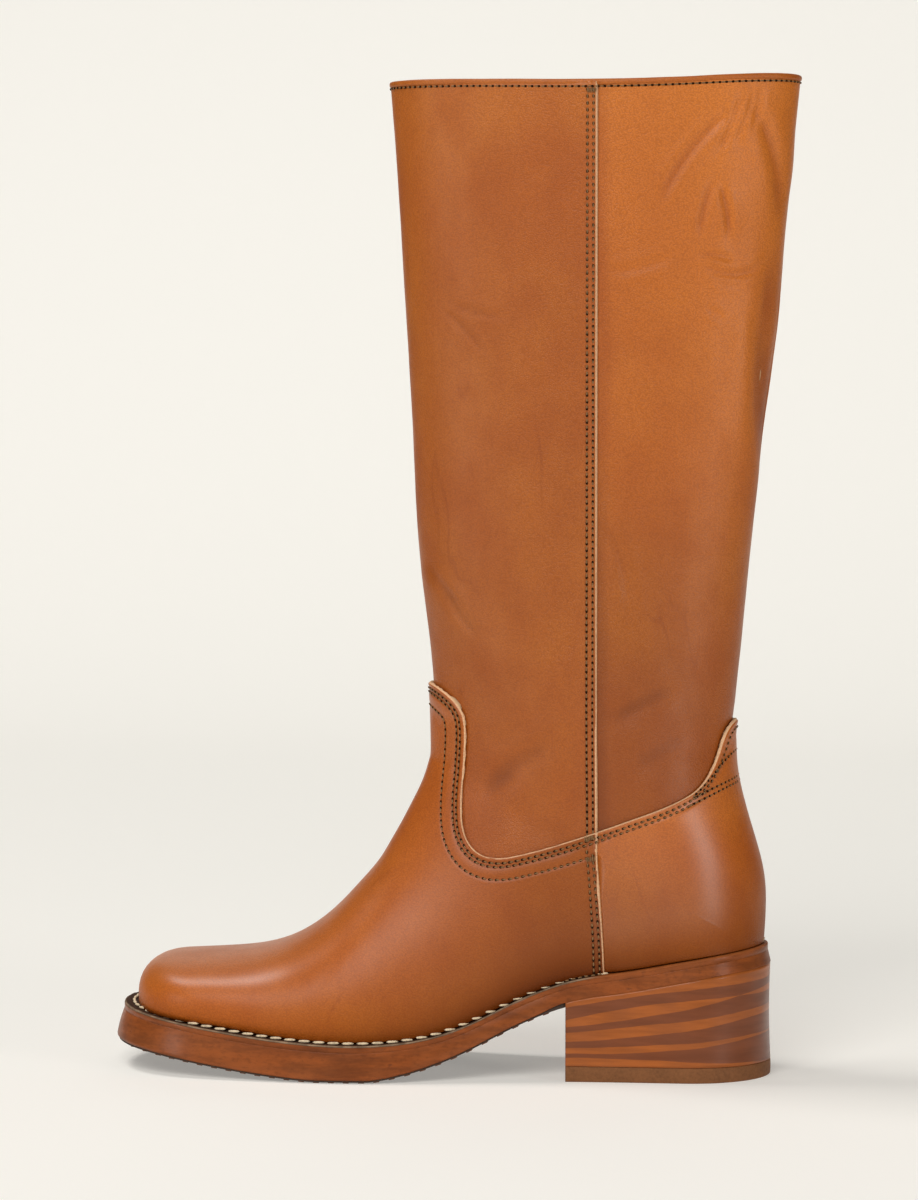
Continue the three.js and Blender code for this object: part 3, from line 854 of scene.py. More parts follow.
def sole_edge_material(colours):
    """Stained and burnished sole edge: warm brown with long rubbing marks and small
    dark nicks."""
    sheet = Sheet("sole_edge", Specular_IOR_Level=0.14, Coat_Roughness=0.22, Coat_IOR=1.4)
    streak = sheet.noise(0.004, 4.0, 0.65, sheet.stretch((0.14, 0.14, 1.0)))
    cloud = sheet.ramp(sheet.noise(0.022, 3.0, 0.6), 0.3, 0.7)
    colour = sheet.shades(sheet.ramp(streak, 0.3, 0.72), colours.sole, 0.5)
    colour = sheet.mix(cloud * 0.35, colour, scaled(colours.sole_light, 0.8))
    fleck = sheet.ramp(sheet.noise(0.0014, 3.0, 0.7, sheet.stretch((0.5, 0.5, 1.0))), 0.45, 0.75)
    colour = sheet.mix(fleck * 0.45, colour, scaled(colours.sole, 0.4))
    nick = sheet.ramp(sheet.noise(0.0026, 2.0, 0.6, sheet.stretch((0.45, 0.45, 1.0))), 0.68, 0.8)
    colour = sheet.mix(nick * 0.5, colour, scaled(colours.sole, 0.3))
    sheet.feed("Base Color", colour)
    sheet.feed("Roughness", 0.3 + 0.22 * streak + 0.12 * cloud)
    sheet.feed("Coat Weight", 0.12 + 0.2 * cloud)
    sheet.feed("Normal", sheet.bump(streak - nick, 0.00022, 0.5))
    return sheet.material


def stack_material(colours):
    """Stacked heel: layers of light and dark leather that spread towards the back, with a
    fine grain along them and a polished coat."""
    sheet = Sheet("stacked_leather", Specular_IOR_Level=0.14, Coat_Roughness=0.16, Coat_IOR=1.4)
    grain = sheet.noise(0.0032, 4.0, 0.65, sheet.stretch((0.1, 0.1, 1.0)))
    cloud = sheet.ramp(sheet.noise(0.02, 3.0), 0.3, 0.7)
    wobble = (sheet.noise(0.016, 2.0) - 0.5) * 0.0011
    depth = sheet.axis("X") - (HEEL_BREAST + SHIFT[0]) * MM
    height = sheet.axis("Z") + wobble
    near_at, far_at = STACK_NEAR * MM, STACK_FAR * MM
    dark = None
    for start, near, far in zip(*(column * MM for column in STACK_JOINTS.values())):
        first = (near - start) / near_at
        bend = ((far - near) / (far_at - near_at) - first) / far_at
        joint = depth * (first - bend * near_at) + start + depth * depth * bend
        step = sheet.ramp(height - joint, -JOINT_BLUR, JOINT_BLUR)
        dark = step if dark is None else (dark - step).maths("ABSOLUTE")
    light = sheet.shades(sheet.ramp(grain, 0.3, 0.7), colours.sole_light, 0.7)
    deep = sheet.shades(sheet.ramp(grain, 0.3, 0.7), colours.stack_dark, 0.75)
    colour = sheet.mix(dark, light, deep)
    colour = sheet.mix(cloud * 0.25, colour, scaled(colours.stack_dark, 0.8))
    sheet.feed("Base Color", colour)
    sheet.feed("Roughness", 0.3 + 0.16 * grain)
    sheet.feed("Coat Weight", 0.18 + 0.25 * cloud)
    sheet.feed("Normal", sheet.bump(grain, 0.00012, 0.4))
    return sheet.material


def rubber_material(name, colour, roughness):
    """Dull rubber: fine grain, scuffed a little lighter."""
    sheet = Sheet(name, Specular_IOR_Level=0.15)
    grain = sheet.noise(0.0013, 3.0, 0.7)
    scuff = sheet.ramp(sheet.noise(0.011, 4.0, 0.65), 0.4, 0.75)
    plain = sheet.shades(sheet.ramp(grain, 0.3, 0.75), colour, 0.72)
    sheet.feed("Base Color", sheet.mix(scuff * 0.4, plain, scaled(colour, 1.35)))
    sheet.feed("Roughness", roughness + 0.2 * grain + 0.1 * scuff)
    sheet.feed("Normal", sheet.bump(grain, 0.00015, 0.5))
    return sheet.material


MADE = {}


def material(name, make, *arguments):
    """The material of that name, made at its first use."""
    if name not in MADE:
        MADE[name] = make(*arguments)
    return MADE[name]


def shaft_leather(colours):
    return material("shaft_leather", leather_material, "shaft_leather", colours, 0.34, 0.12)


def foot_leather(colours):
    return material("foot_leather", leather_material, "foot_leather", colours, 0.1, 1.0)


def raw_edge(colours):
    return material("raw_edge", raw_edge_material, colours)


def sole_edge(colours):
    return material("sole_edge", sole_edge_material, colours)


def lining(colours):
    return material("lining", lining_material, colours)


# --- Leather panels --------------------------------------------------------------------


def edge_bevel(distance):
    """How deep the surface lies near the foot leather's cut edge: a steep rounded flank,
    then a slope pressed down between the edge and the stitches."""
    flank = 1.7 * (1 - np.clip(distance / 0.75, 0, 1) ** 0.6)
    return flank + 0.18 * bump(distance - 3.0, 1.6)


def stitch_groove(distance, lines, depth=0.22, width=0.7):
    """Grooves that the stitch lines pull into the leather."""
    return -depth * sum(bump(distance - line, width) for line in lines)


def spread(grid, rows, columns):
    """The grid with other numbers of rows and columns, by straight lines between its
    points."""
    r, c = np.linspace(0, len(grid) - 1, rows), np.linspace(0, grid.shape[1] - 1, columns)
    i = np.minimum(r.astype(int), len(grid) - 2)
    j = np.minimum(c.astype(int), grid.shape[1] - 2)
    a, b = (r - i)[:, None, None], (c - j)[None, :, None]
    above = lerp(grid[i][:, j], grid[i][:, j + 1], b)
    below = lerp(grid[i + 1][:, j], grid[i + 1][:, j + 1], b)
    return lerp(above, below, a)


TURN_LENGTH = 110.0  # length that stands for v = 1 while a grid is relaxed
EVEN_ROUNDS = 30  # of plain averaging, before the elliptic equations take over


def relaxed(grid):
    """Moves the inner points of a grid of t and v between its fixed borders until its
    lines spread smoothly without folding (the usual equations of an elliptic grid),
    first on every fourth line, then on every second and at last on all."""
    full = grid * (1.0, TURN_LENGTH)
    inner = full[::4, ::4]
    for step, rounds in ((4, 600), (2, 400), (1, 300)):
        g = full[::step, ::step].copy()
        g[1:-1, 1:-1] = spread(inner, *g.shape[:2])[1:-1, 1:-1]
        for i in range(rounds):
            above, below, right, left = g[:-2, 1:-1], g[2:, 1:-1], g[1:-1, 2:], g[1:-1, :-2]
            down, across = (below - above) / 2, (right - left) / 2
            a, b, c = 1.0, 0.0, 1.0
            if i > EVEN_ROUNDS:
                a = (down**2).sum(-1, keepdims=True)
                b = (down * across).sum(-1, keepdims=True)
                c = (across**2).sum(-1, keepdims=True)
            corners = g[2:, 2:] - g[:-2, 2:] - g[2:, :-2] + g[:-2, :-2]
            g[1:-1, 1:-1] = (a * (right + left) + c * (above + below) - b * corners / 2) / (
                2 * (a + c))
        inner = g
    return inner / (1.0, TURN_LENGTH)


def both_sides(half):
    """A half grid with its mirror image: columns from the outer end to the inner end."""
    outer = half[:, ::-1].copy()
    outer[..., 1] *= -1
    return np.concatenate([outer, half[:, 1:]], axis=1)


def seam_line(low, high, lift):
    """Columns t, |v|, x, y, z along the side seam between two stations."""
    t = np.linspace(low, high, 200)
    return on_surface(t, seam_turn(t, lift), lift)


def top_edge(lift, ahead, inside=0.0):
    """Columns t, |v|, x, y, z along a line inside the foot leather's upper edge, from the
    middle of the boot to the side seam (ahead) or from the seam to the back."""
    curve = side_view_offset(TOP_CURVE, inside)
    part = curve[(curve[:, 0] < SIDE_SEAM + 3) if ahead else (curve[:, 0] > SIDE_SEAM - 3)]
    t, v = locate(part[:, 0], part[:, 1], lift)
    crossing = np.flatnonzero(v > seam_turn(t, lift))[0]
    if ahead:
        kept = slice(np.flatnonzero(v > 0)[0] - 1, crossing + 1)
    else:
        kept = slice(crossing, np.flatnonzero(v < 1)[-1] + 2)
    return on_surface(t[kept], v[kept], lift)


def seam_columns(count, fine_count, length, step=0.5):
    """Shares from the far side (0) to the seam (1) of a panel of about that length: count
    even ones, then fine_count a step apart beside the seam."""
    fine = fine_count * step / length
    beside = 1 - fine + np.arange(1, fine_count + 1) * fine / fine_count
    return np.concatenate([np.linspace(0, 1 - fine, count), beside])


# Distances from the foot leather's upper edge of the rows that run beside it.
EDGE_BAND = (
    0, 0.25, 0.5, 0.75, 1.0, 1.4, 1.8, 2.2, 2.6, 3.0, 3.4, 3.8, 4.3, 4.8, 5.4, 6.4, 7.6, 9.0,
)


def foot_grid(ahead):
    """t and v of the vamp (ahead) or the counter: rows beside the upper edge, then a
    relaxed grid down to the toe and the feather, with the side seam as its last column."""
    lift = OVERLAY
    t = np.linspace(STATION[FEET - 3], HEEL_STATION, 400)
    seam_foot = t[np.argmax(seam_turn(t, lift) < 1.0) - 1]
    if ahead:
        v = np.linspace(0, 1, 120)
        t = np.linspace(0, seam_foot, 400)[1:]
        rim = np.concatenate([
            on_surface(np.zeros_like(v), v, lift), on_surface(t, np.ones_like(t), lift)
        ])
        shares = seam_columns(113, 16, 200)
    else:
        t = np.linspace(HEEL_STATION, seam_foot, 300)
        rim = on_surface(t, np.ones_like(t), lift)
        shares = seam_columns(57, 16, 70)
    band = np.array([
        resample(top_edge(lift, ahead, inside)[:: 1 if ahead else -1], shares)[:, :2]
        for inside in EDGE_BAND
    ])
    first, last = band[-1], resample(rim, shares)[:, :2]
    b = np.linspace(0, 1, 121)
    grid = lerp(first[None], last[None], b[:, None, None])
    seam = resample(seam_line(seam_foot, first[-1, 0], lift)[::-1], b)[:, :2]
    weight = smooth((shares - 0.5) / 0.5)[None, :, None]
    grid = relaxed(grid + weight * (seam - grid[:, -1])[:, None, :])
    half = np.concatenate([band[:-1], spread(grid, 141 if ahead else 91, len(shares))])
    if ahead:
        return both_sides(half)
    outer = half * (1, -1)
    return np.concatenate([half[:, ::-1], outer[:, 1:]], axis=1)


def shaft_low(seam_share, ahead):
    """The station at which the shaft leather ends under the foot leather, for shares of
    the way from the middle of the front or back (0) to the side seam (1): the foot
    leather's edge at its lowest nearby, evened out, less the underlap."""
    edge = top_edge(0.0, ahead)
    seam = seam_turn(edge[:, 0], 0.0)
    share = edge[:, 1] / seam if ahead else (1 - edge[:, 1]) / (1 - seam)
    even = np.linspace(-0.2, 1.2, 281)
    near = np.abs(share[None] - np.clip(even, 0, 1)[:, None]) < 0.13
    low = np.where(near, edge[None, :, 0], np.inf).min(1)
    weight = bump(seam_share[:, None] - even[None], 0.075)
    return (weight * low).sum(1) / weight.sum(1) - UNDERLAP


def shaft_grid(ahead):
    """t and v of the front or back leather of the shaft, from under the foot leather up
    to the collar and from seam to seam."""
    q = np.linspace(0, 1, 224)
    if not ahead:
        q = lerp(q, q**1.6, 0.75)  # closer rows for the creases near the top
    rise = 1 - q[:, None]
    halves = []
    for columns in (96, 46) if ahead else (108, 44):
        shares = seam_columns(columns, 18, 112, 0.4)
        t = lerp(shaft_low(shares, ahead)[None], COLLAR_STATION - 1.0, rise)
        seam = seam_turn(t, 0.0)
        halves.append(np.stack(
            [t, shares[None] * seam if ahead else 1 - shares[None] * (1 - seam)], -1))
    outer, inner = halves
    return np.concatenate([(outer * (1, -1))[:, ::-1], inner[:, 1:]], axis=1)


def collar_rise(v):
    """How much higher or lower than level the collar runs: it dips at the side seams and
    is highest between them and the back."""
    return Spline([0, 0.3, 0.5, 0.62, 0.8, 1.0], [0.0, 0.2, -0.7, -0.4, 1.1, 0.6])(np.abs(v))


def bend_collar(points, v):
    """Lifts the top of the shaft to the collar's wavy line."""
    share = smooth((points[..., 2] - 372) / 45)
    points = points.copy()
    points[..., 2] += share * collar_rise(v)
    return points


def polish(points):
    """How much wax is left: little just over the welt and at the back of the heel, less
    on the vamp than on the toe and the side of the heel."""
    x, z = points[..., 0], points[..., 2]
    over_welt = z - welt_top(np.clip(x, 0, SOLE_LENGTH))
    back = smooth((x - 256) / 14) * (z < 150)
    vamp = smooth((x - 66) / 40) * smooth((214 - x) / 8) * (z < 150)
    toe_top = smooth((z - 37) / 12) * smooth((100 - x) / 20)
    wax = (0.1 + 0.9 * smooth((over_welt - 3) / 20)) * (1 - 0.75 * back)
    return wax * (1 - 0.55 * vamp) * (1 - 0.5 * toe_top)


def leather_panel(name, grid, lift, relief, tone, raw, thickness, leather, colours):
    """A leather sheet over the last's surface: the grid's points moved along their
    normals by relief(points, grid). A cell where raw(points) is negative on average shows
    the cut edge."""
    base = surface(grid[..., 0], grid[..., 1], lift)
    normal = outward(base, normals(base))
    height = relief(base, grid)
    points = bend_collar(base + normal * height[..., None], grid[..., 1])
    cut = raw(base)
    cut = cut[:-1, :-1] + cut[1:, :-1] + cut[:-1, 1:] + cut[1:, 1:] < 0
    faces = oriented(points, grid_faces(*cut.shape + np.array([1, 1])), normal)
    piece = add_mesh(name, points, faces, [leather, raw_edge(colours), lining(colours)],
                     cut.ravel().astype(int))
    # The attribute tone carries the panel's painted light and shade, with some burnished leather
    # over the welt.
    add_attribute(piece, "tone", tone(base, height))
    add_attribute(piece, "polish", polish(base))
    solidify(piece, thickness, 2, 1)
    return piece


def oriented(points, faces, normal):
    """The faces, turned round if they face against the normals."""
    flat, aim = points.reshape(-1, 3), normal.reshape(-1, 3)
    middle = faces[len(faces) // 2]
    a, b, c, _ = flat[middle]
    facing = np.dot(np.cross(b - a, c - a), aim[middle[0]])
    return faces if facing > 0 else faces[:, ::-1]


def seam_distance(points, grid):
    """Distance of each point from the side seam in the side view."""
    return np.abs(points[..., 0] - side_seam(grid[..., 0]))


def steps_of(value, *pairs):
    """Straight lines through pairs of a value and its tone."""
    at, tone = zip(*pairs)
    return np.interp(value, at, tone)


def crease_shade_and_burnish(points, height):
    """Painted shade in the troughs of the creases, and a darkening just over the welt that is
    partly burnished leather and partly painted shade where the upper meets the welt."""
    x, z = points[..., 0], points[..., 2]
    # Painted shade in the troughs of the creases.
    crease_shade = -0.45 * np.clip(-height - 0.2, 0, 1)
    over_welt = z - welt_top(np.clip(x, 0, SOLE_LENGTH))
    # Over the welt: partly burnished leather, partly painted shade in the corner where the upper
    # meets the welt.
    burnish_and_shade = steps_of(x, (10, 0.6), (60, 0.58), (120, 0.82), (200, 0.76), (270, 0.55))
    reach = steps_of(x, (20, 9), (120, 17), (200, 24), (270, 22))
    return crease_shade - burnish_and_shade * np.exp(-np.maximum(over_welt, 0) / reach) * (z < 110)


def front_painted_light(points, height):
    """Front of the shaft: painted shade low down and painted light at the top."""
    z = points[..., 2]
    painted_light_field = steps_of(z, (100, -0.2), (200, -0.2), (280, -0.12), (360, -0.04), (418, 0.1))
    return crease_shade_and_burnish(points, height) + painted_light_field


def back_painted_light(points, height):
    """Back of the shaft: painted shade at the ankle, painted light at the top and to the rear."""
    x, z = points[..., 0], points[..., 2]
    painted_light_field = steps_of(z, (110, -0.42), (165, -0.36), (215, -0.2), (270, 0.1), (330, 0.22),
                     (418, 0.42))
    return crease_shade_and_burnish(points, height) + painted_light_field + 0.12 * smooth((x - 235) / 30)


def vamp_painted_light(points, height):
    """Vamp: painted light on the toe, painted shade towards the seam."""
    x, z = points[..., 0], points[..., 2]
    painted_light_field = steps_of(x, (10, 0.3), (60, 0.22), (110, 0.1), (150, -0.12), (185, -0.28),
                     (213, -0.3))
    return crease_shade_and_burnish(points, height * 0) + painted_light_field * smooth((150 - z) / 40)


def counter_painted_light(points, height):
    """Counter: painted shade low down and painted light towards its top."""
    painted_light_field = steps_of(points[..., 2], (45, -0.2), (80, -0.08), (110, 0.2), (150, 0.1))
    return crease_shade_and_burnish(points, height * 0) + painted_light_field


SHAFT_STITCHES = (1.9, 4.4)  # from the side seam's cut edge
FOOT_STITCHES = (2.2, 3.8)  # from the foot leather's upper edge
INNER_STITCH = 9.0  # the vamp's third line
SEAM_TOP = 106.0  # height of the foot leather's edge at the side seam
SEAM_SKIVE = 1.0  # width of the rounded flank of a cut edge at the seam
SHAFT_RAW = 0.8  # width of the pale cut edge at the shaft's seam
VAMP_RAW = 0.75  # at the vamp's seam
TOP_RAW = 0.45  # at the foot leather's upper edge


def seam_flank(seam):
    """1 at a cut edge, falling to 0 over the rounded flank beside it."""
    return 1 - np.clip(seam / SEAM_SKIVE, 0, 1) ** 0.8


def front_relief(points, grid):
    """Creases and unevenness, the lap that rises to the seam and its cut edge, stitch
    grooves, and the part under the foot leather tucked in."""
    seam = seam_distance(points, grid)
    hidden = grid_hidden(points)
    folds = crease_relief(points) + 0.35 * sway(points, 70, 3) + 0.1 * sway(points, 22, 4)
    folds = folds * np.where(hidden, 0, smooth(edge_distance(points) / 9))
    step = 0.65 * smooth(1 - seam / 12) - 1.4 * seam_flank(seam)
    tuck = 0.35 * hidden * smooth(edge_distance(points) / 6)
    return folds * smooth(seam / 5) + step + stitch_groove(seam, SHAFT_STITCHES) - tuck


def back_relief(points, grid):
    """Creases and unevenness, and the part under the seam's lap pressed down."""
    seam = seam_distance(points, grid)
    hidden = grid_hidden(points)
    folds = crease_relief(points) + 0.4 * sway(points, 65, 5) + 0.12 * sway(points, 20, 6)
    folds = folds * np.where(hidden, 0, smooth(edge_distance(points) / 9))
    return folds * smooth(seam / 8) - 0.7 * smooth(1 - seam / 9)


def grid_hidden(points):
    """True where a point of the shaft lies under the foot leather."""
    curve = TOP_CURVE[np.argsort(TOP_CURVE[:, 0])]
    rear = np.interp(points[..., 0], curve[:, 0], curve[:, 1])
    tongue = (points[..., 0] < 151.0) & (points[..., 2] < 163.0)
    return (points[..., 2] < rear) | tongue


def vamp_relief(points, grid):
    """Soft unevenness and creases, the cut edges at the top and the seam, and the stitch
    grooves beside them."""
    top, seam = edge_distance(points), seam_distance(points, grid)
    low = points[..., 2] < SEAM_TOP + 3
    seam = np.where(low, seam, 40)
    soft = 0.3 * sway(points, 60, 7) * smooth(top / 25) * smooth(seam / 20)
    side = 1.5 * seam_flank(seam) - 0.45 * smooth(1 - seam / 10)
    drop = np.maximum(edge_bevel(top), side)
    groove = stitch_groove(top, (*FOOT_STITCHES, INNER_STITCH))
    groove = groove + stitch_groove(seam, SHAFT_STITCHES)
    return soft + vamp_creases(points) + groove - drop


def vamp_creases(points):
    """Shallow flex creases across the vamp where the toes bend."""
    x, z = points[..., 0], points[..., 2]
    total = np.zeros(x.shape)
    for start, lean, width, depth in ((96, 0.5, 3.5, 0.12), (104, 0.55, 4.0, 0.1)):
        w = x - start - lean * (z - 40)
        total -= depth * bump(w, width) * smooth((62 - z) / 20) * smooth((z - 22) / 10)
    return total


def counter_relief(points, grid):
    """Soft unevenness, the cut edge at the top, the part under the vamp pressed down and
    the stitch grooves."""
    top, seam = edge_distance(points), seam_distance(points, grid)
    soft = 0.25 * sway(points, 50, 9) * smooth(top / 25) * smooth(seam / 15)
    under_vamp = 0.75 * smooth(1 - seam / 8)
    return soft - edge_bevel(top) - under_vamp + stitch_groove(top, FOOT_STITCHES)


def make_shaft(colours):
    """Front and back leather of the shaft, lapped at the side seams."""
    for name, ahead, relief, tone in (("shaft_front", True, front_relief, front_painted_light),
                                      ("shaft_back", False, back_relief, back_painted_light)):
        grid = shaft_grid(ahead)

        def raw(points):
            return seam_distance(points, grid) - (SHAFT_RAW if ahead else -1.0)

        piece = leather_panel(name, grid, 0.0, relief, tone, raw, SHAFT_WALL,
                              shaft_leather(colours), colours)
        finish_piece(piece, "tan_leather", *(("upper",) if ahead else ()))


def make_foot(colours):
    """Vamp and counter, laid over the shaft."""
    for name, ahead, relief, tone in (("vamp_leather", True, vamp_relief, vamp_painted_light),
                                      ("counter_leather", False, counter_relief, counter_painted_light)):
        grid = foot_grid(ahead)

        def raw(points):
            low = ahead & (points[..., 2] < SEAM_TOP)
            seam = np.where(low, seam_distance(points, grid) - VAMP_RAW, 9)
            return np.minimum(edge_distance(points) - TOP_RAW, seam)

        piece = leather_panel(name, grid, OVERLAY, relief, tone, raw, FOOT_WALL,
                              foot_leather(colours), colours)
        finish_piece(piece, "tan_leather", "vamp" if ahead else "counter")


def make_lining(colours):
    """Lining of the whole inside, a thin sheet from the feather to the collar."""
    foot = np.linspace(0, HEEL_STATION, 90)
    leg = np.linspace(HEEL_STATION, COLLAR_STATION - 2, 100)[1:]
    t, v = np.meshgrid(np.concatenate([foot, leg])[::-1], np.linspace(-1, 1, 121), indexing="ij")
    base = surface(t, v, -LINING_DEPTH)
    normal = outward(base, normals(base))
    points = bend_collar(base, v)
    piece = add_mesh("lining", points, oriented(points, grid_faces(*t.shape), normal),
                     [lining(colours)])
    solidify(piece, LINING_WALL, 0, 0)
    finish_piece(piece, "lining_leather")


def make_collar(colours):
    """Folded top edge of the shaft: a rounded roll over the wall, carried round."""
    v = np.linspace(-1, 1, 361)[:-1]
    top = surface(np.full_like(v, COLLAR_STATION), v, 0.0)
    inner = surface(np.full_like(v, COLLAR_STATION), v, -UPPER_WALL)
    out = top - inner
    out[:, 2] = 0
    out /= np.linalg.norm(out, axis=1, keepdims=True)
    turn = np.linspace(0, 2 * math.pi, 25)[:-1]
    across = np.cos(turn)
    reach = -UPPER_WALL / 2 + 0.02 + 1.24 * np.sign(across) * np.abs(across) ** 0.8
    up = -1.25 + 1.3 * np.sign(np.sin(turn)) * np.abs(np.sin(turn)) ** 0.85
    points = top[:, None] + out[:, None] * reach[None, :, None]
    points[..., 2] += up[None]
    points = bend_collar(points, np.repeat(v[:, None], len(turn), 1))
    ripple = 0.12 * sway(points, 18, 12)
    points[..., 2] += ripple * (up > -1.2)
    faces = grid_faces(*points.shape[:2], wrap_rows=True, wrap_columns=True)
    piece = add_mesh("collar_edge", points, faces, [shaft_leather(colours)])
    add_attribute(piece, "tone", np.full(points.shape[:2], 0.05))
    add_attribute(piece, "polish", np.ones(points.shape[:2]))
    merge_doubles(piece)
    finish_piece(piece, "tan_leather")


# --- Stitches --------------------------------------------------------------------------


RINGS, AROUND = 5, 6  # of points in a stitch's mesh


def unit_stitch():
    """Length 1 along x, a lens of radius 1/2 round it, closed at both ends."""
    a = np.linspace(0, math.pi, RINGS)[:, None]
    b = np.linspace(0, 2 * math.pi, AROUND + 1)[:-1][None]
    radius = np.sin(a) ** 0.6
    x = -0.5 * np.cos(a) * np.ones_like(b)
    return np.stack([x, radius * np.cos(b) / 2, radius * np.sin(b) / 2], -1).reshape(-1, 3)


def stitch_count(at, pitch):
    """How many whole stitches fit best on a row."""
    return max(1, int(round(at[-1] / pitch)))


def add_stitches(name, rows, pitch, size, material, skew=0.0, sink=0.0):
    """Stitches of a length, width and height along rows of points with normals: copies
    of one unit stitch, turned to the row's way and the surface's normal, as one mesh."""
    template = unit_stitch()
    centres, ways, ups = [], [], []
    for points, normal in rows:
        at = way_along(points)
        count = stitch_count(at, pitch)
        want = (np.arange(count) + 0.5) * at[-1] / count
        centres.append(pick(want, at, points))
        ways.append(pick(want + 0.4, at, points) - pick(want - 0.4, at, points))
        ups.append(pick(want, at, normal))
    centre, way, up = (np.concatenate(a) for a in (centres, ways, ups))
    up /= np.linalg.norm(up, axis=1, keepdims=True)
    way -= up * (way * up).sum(1, keepdims=True)
    way /= np.linalg.norm(way, axis=1, keepdims=True)
    side = np.cross(up, way)
    c, s = math.cos(skew), math.sin(skew)
    way, side = way * c + side * s, side * c - way * s
    local = template * np.array(size)
    points = (centre[:, None] + local[None, :, :1] * way[:, None]
              + local[None, :, 1:2] * side[:, None]
              + (local[None, :, 2:] - sink) * up[:, None])
    faces = copied_faces(grid_faces(RINGS, AROUND, wrap_columns=True), len(centre), len(template))
    piece = add_mesh(name, points, faces, [material])
    merge_doubles(piece, 0.002)
    return piece


def surface_row(t, v, lift):
    """Points and normals along a row on the surface, the normals by small steps."""
    points = surface(t, v, lift)
    step_t = surface(t + 0.5, v, lift) - surface(t - 0.5, v, lift)
    step_v = surface(t, v + 0.004, lift) - surface(t, v - 0.004, lift)
    normal = np.cross(step_t, step_v)
    sign = np.sign(points[:, 1] * normal[:, 1])  # away from the boot's middle plane
    sign[sign == 0] = 1
    normal *= sign[:, None]
    normal /= np.linalg.norm(normal, axis=1, keepdims=True)
    return points, normal


def seam_rows(distance, low, high, lift):
    """A stitch line that runs beside the side seam, ahead of it, on both sides."""
    t = np.linspace(low, high, 300)
    s = section(t, lift)
    at = (side_seam(t) - distance - s["low_x"]) / (s["top_x"] - s["low_x"])
    v = turn_at(s, at)
    rows = []
    for side in (-1, 1):
        points, normal = surface_row(t, side * v, lift)
        rows.append((bend_collar(points, v), normal))
    return rows


def side_view_rows(line, lift):
    """A stitch line drawn in the side view, on both sides of the boot."""
    t, v = locate(line[:, 0], line[:, 1], lift)
    keep = (v > 0.004) & (v < 0.996)
    t, v = t[keep], v[keep]
    return [surface_row(t, side * v, lift) for side in (-1, 1)]


def foot_top_rows(distance, lift, last_x=SOLE_LENGTH):
    """A stitch line at a distance inside the foot leather's upper edge, up to last_x."""
    line = side_view_offset(TOP_CURVE, distance)
    return side_view_rows(line[line[:, 0] < last_x], lift)


def drawn_rows(corners, lift):
    """A stitch line through a few points of the side view, as a smooth curve."""
    x, z = np.array(corners, float).T
    at = np.arange(len(x))
    want = np.linspace(0, len(x) - 1, 80)
    return side_view_rows(np.column_stack([Spline(at, x)(want), Spline(at, z)(want)]), lift)


# The counter's stitch lines that leave its edge, and the bar tacks at the side seam.
COUNTER_LINES = (
    ((249.2, 119.2), (253.9, 123.9), (258.5, 129.7), (262.4, 134.3), (265.8, 137.6)),
    ((249.2, 118.5), (255.0, 121.5), (261.0, 124.2), (268.5, 127.1)),
    ((248.0, 115.9), (256.0, 119.6), (262.0, 122.3), (269.0, 125.0)),
)
BAR_TACKS = (
    ((204.6, 101.7), (206.6, 102.2), (208.6, 102.8)),
    ((205.4, 93.0), (207.4, 93.4), (209.4, 93.8)),
)
COLLAR_TACK = ((205.6, 412.4), (207.5, 412.4), (209.4, 412.4))
TACK_PITCH = 0.75
TACK_SIZE = (2.3, 0.55, 0.6)
HOLE_SIZE = (1.35, 1.0, 0.5)


def make_stitches(sizes, colours):
    """Thread, needle holes and bar tacks of the side seams, the foot leather's edge and
    the collar."""
    brown = material("brown_thread", thread_material, "brown_thread", colours.thread, 0.0007)
    hole = material("needle_holes", hole_material)
    pitch = sizes.seam_pitch / MM
    top_t = COLLAR_STATION - 3
    low_t = STATION[FEET] + 1
    rows = []
    for distance in SHAFT_STITCHES:
        rows += seam_rows(distance, low_t + 3, top_t, 0.55)
        rows += seam_rows(distance, STATION[FEET - 3] + 7, low_t - 3, OVERLAY + 0.2)
    rows += foot_top_rows(FOOT_STITCHES[0], OVERLAY)
    rows += foot_top_rows(FOOT_STITCHES[1], OVERLAY, 249)
    rows += foot_top_rows(INNER_STITCH, OVERLAY, 207)
    for corners in COUNTER_LINES:
        rows += drawn_rows(corners, OVERLAY)
    v = np.linspace(-1, 1, 500)
    t = np.full_like(v, COLLAR_STATION - 3.1)
    points, normal = surface_row(t, v, 0.15)
    behind = points[:, 0] - SIDE_SEAM
    lap = np.where(behind < 0, 0.65 * smooth(1 + behind / 12), -0.7 * smooth(1 - behind / 9))
    rows.append((bend_collar(points + lap[:, None] * normal, v), normal))
    stitches = add_stitches("seam_stitches", rows, pitch, (pitch * 0.66, 0.7, 0.7), brown,
                            sink=0.05)
    finish_piece(stitches, "brown_thread")
    holes = add_stitches("needle_holes", half_a_stitch_on(rows, pitch), pitch, HOLE_SIZE, hole)
    finish_piece(holes, "brown_thread")
    tacks = [row for corners in BAR_TACKS for row in drawn_rows(corners, OVERLAY + 0.35)]
    tacks += drawn_rows(COLLAR_TACK, 0.8)
    bars = add_stitches("bar_tacks", tacks, TACK_PITCH, TACK_SIZE, brown, skew=1.4)
    finish_piece(bars, "brown_thread")


def half_a_stitch_on(rows, pitch):
    """The rows from half a stitch on, so that what is set along them lies between the
    stitches."""
    moved = []
    for points, normal in rows:
        at = way_along(points)
        half = at[-1] / stitch_count(at, pitch) / 2
        want = np.linspace(half, at[-1] - half * 0.01, len(points))
        moved.append((pick(want, at, points), pick(want, at, normal)))
    return moved


# --- Sole and heel ---------------------------------------------------------------------


def rim_path(outline, start=None, end=None):
    """x along an outline between two cuts, slowing down at a rounded end."""
    q = np.linspace(0, 1, 220)
    if start is not None:
        share = np.sin(q * math.pi / 2)
    elif end is not None:
        share = 1 - np.cos(q * math.pi / 2)
    else:
        share = (1 - np.cos(q * math.pi)) / 2
    first = outline.start if start is None else start
    last = outline.end if end is None else end
    return lerp(first, last, share)


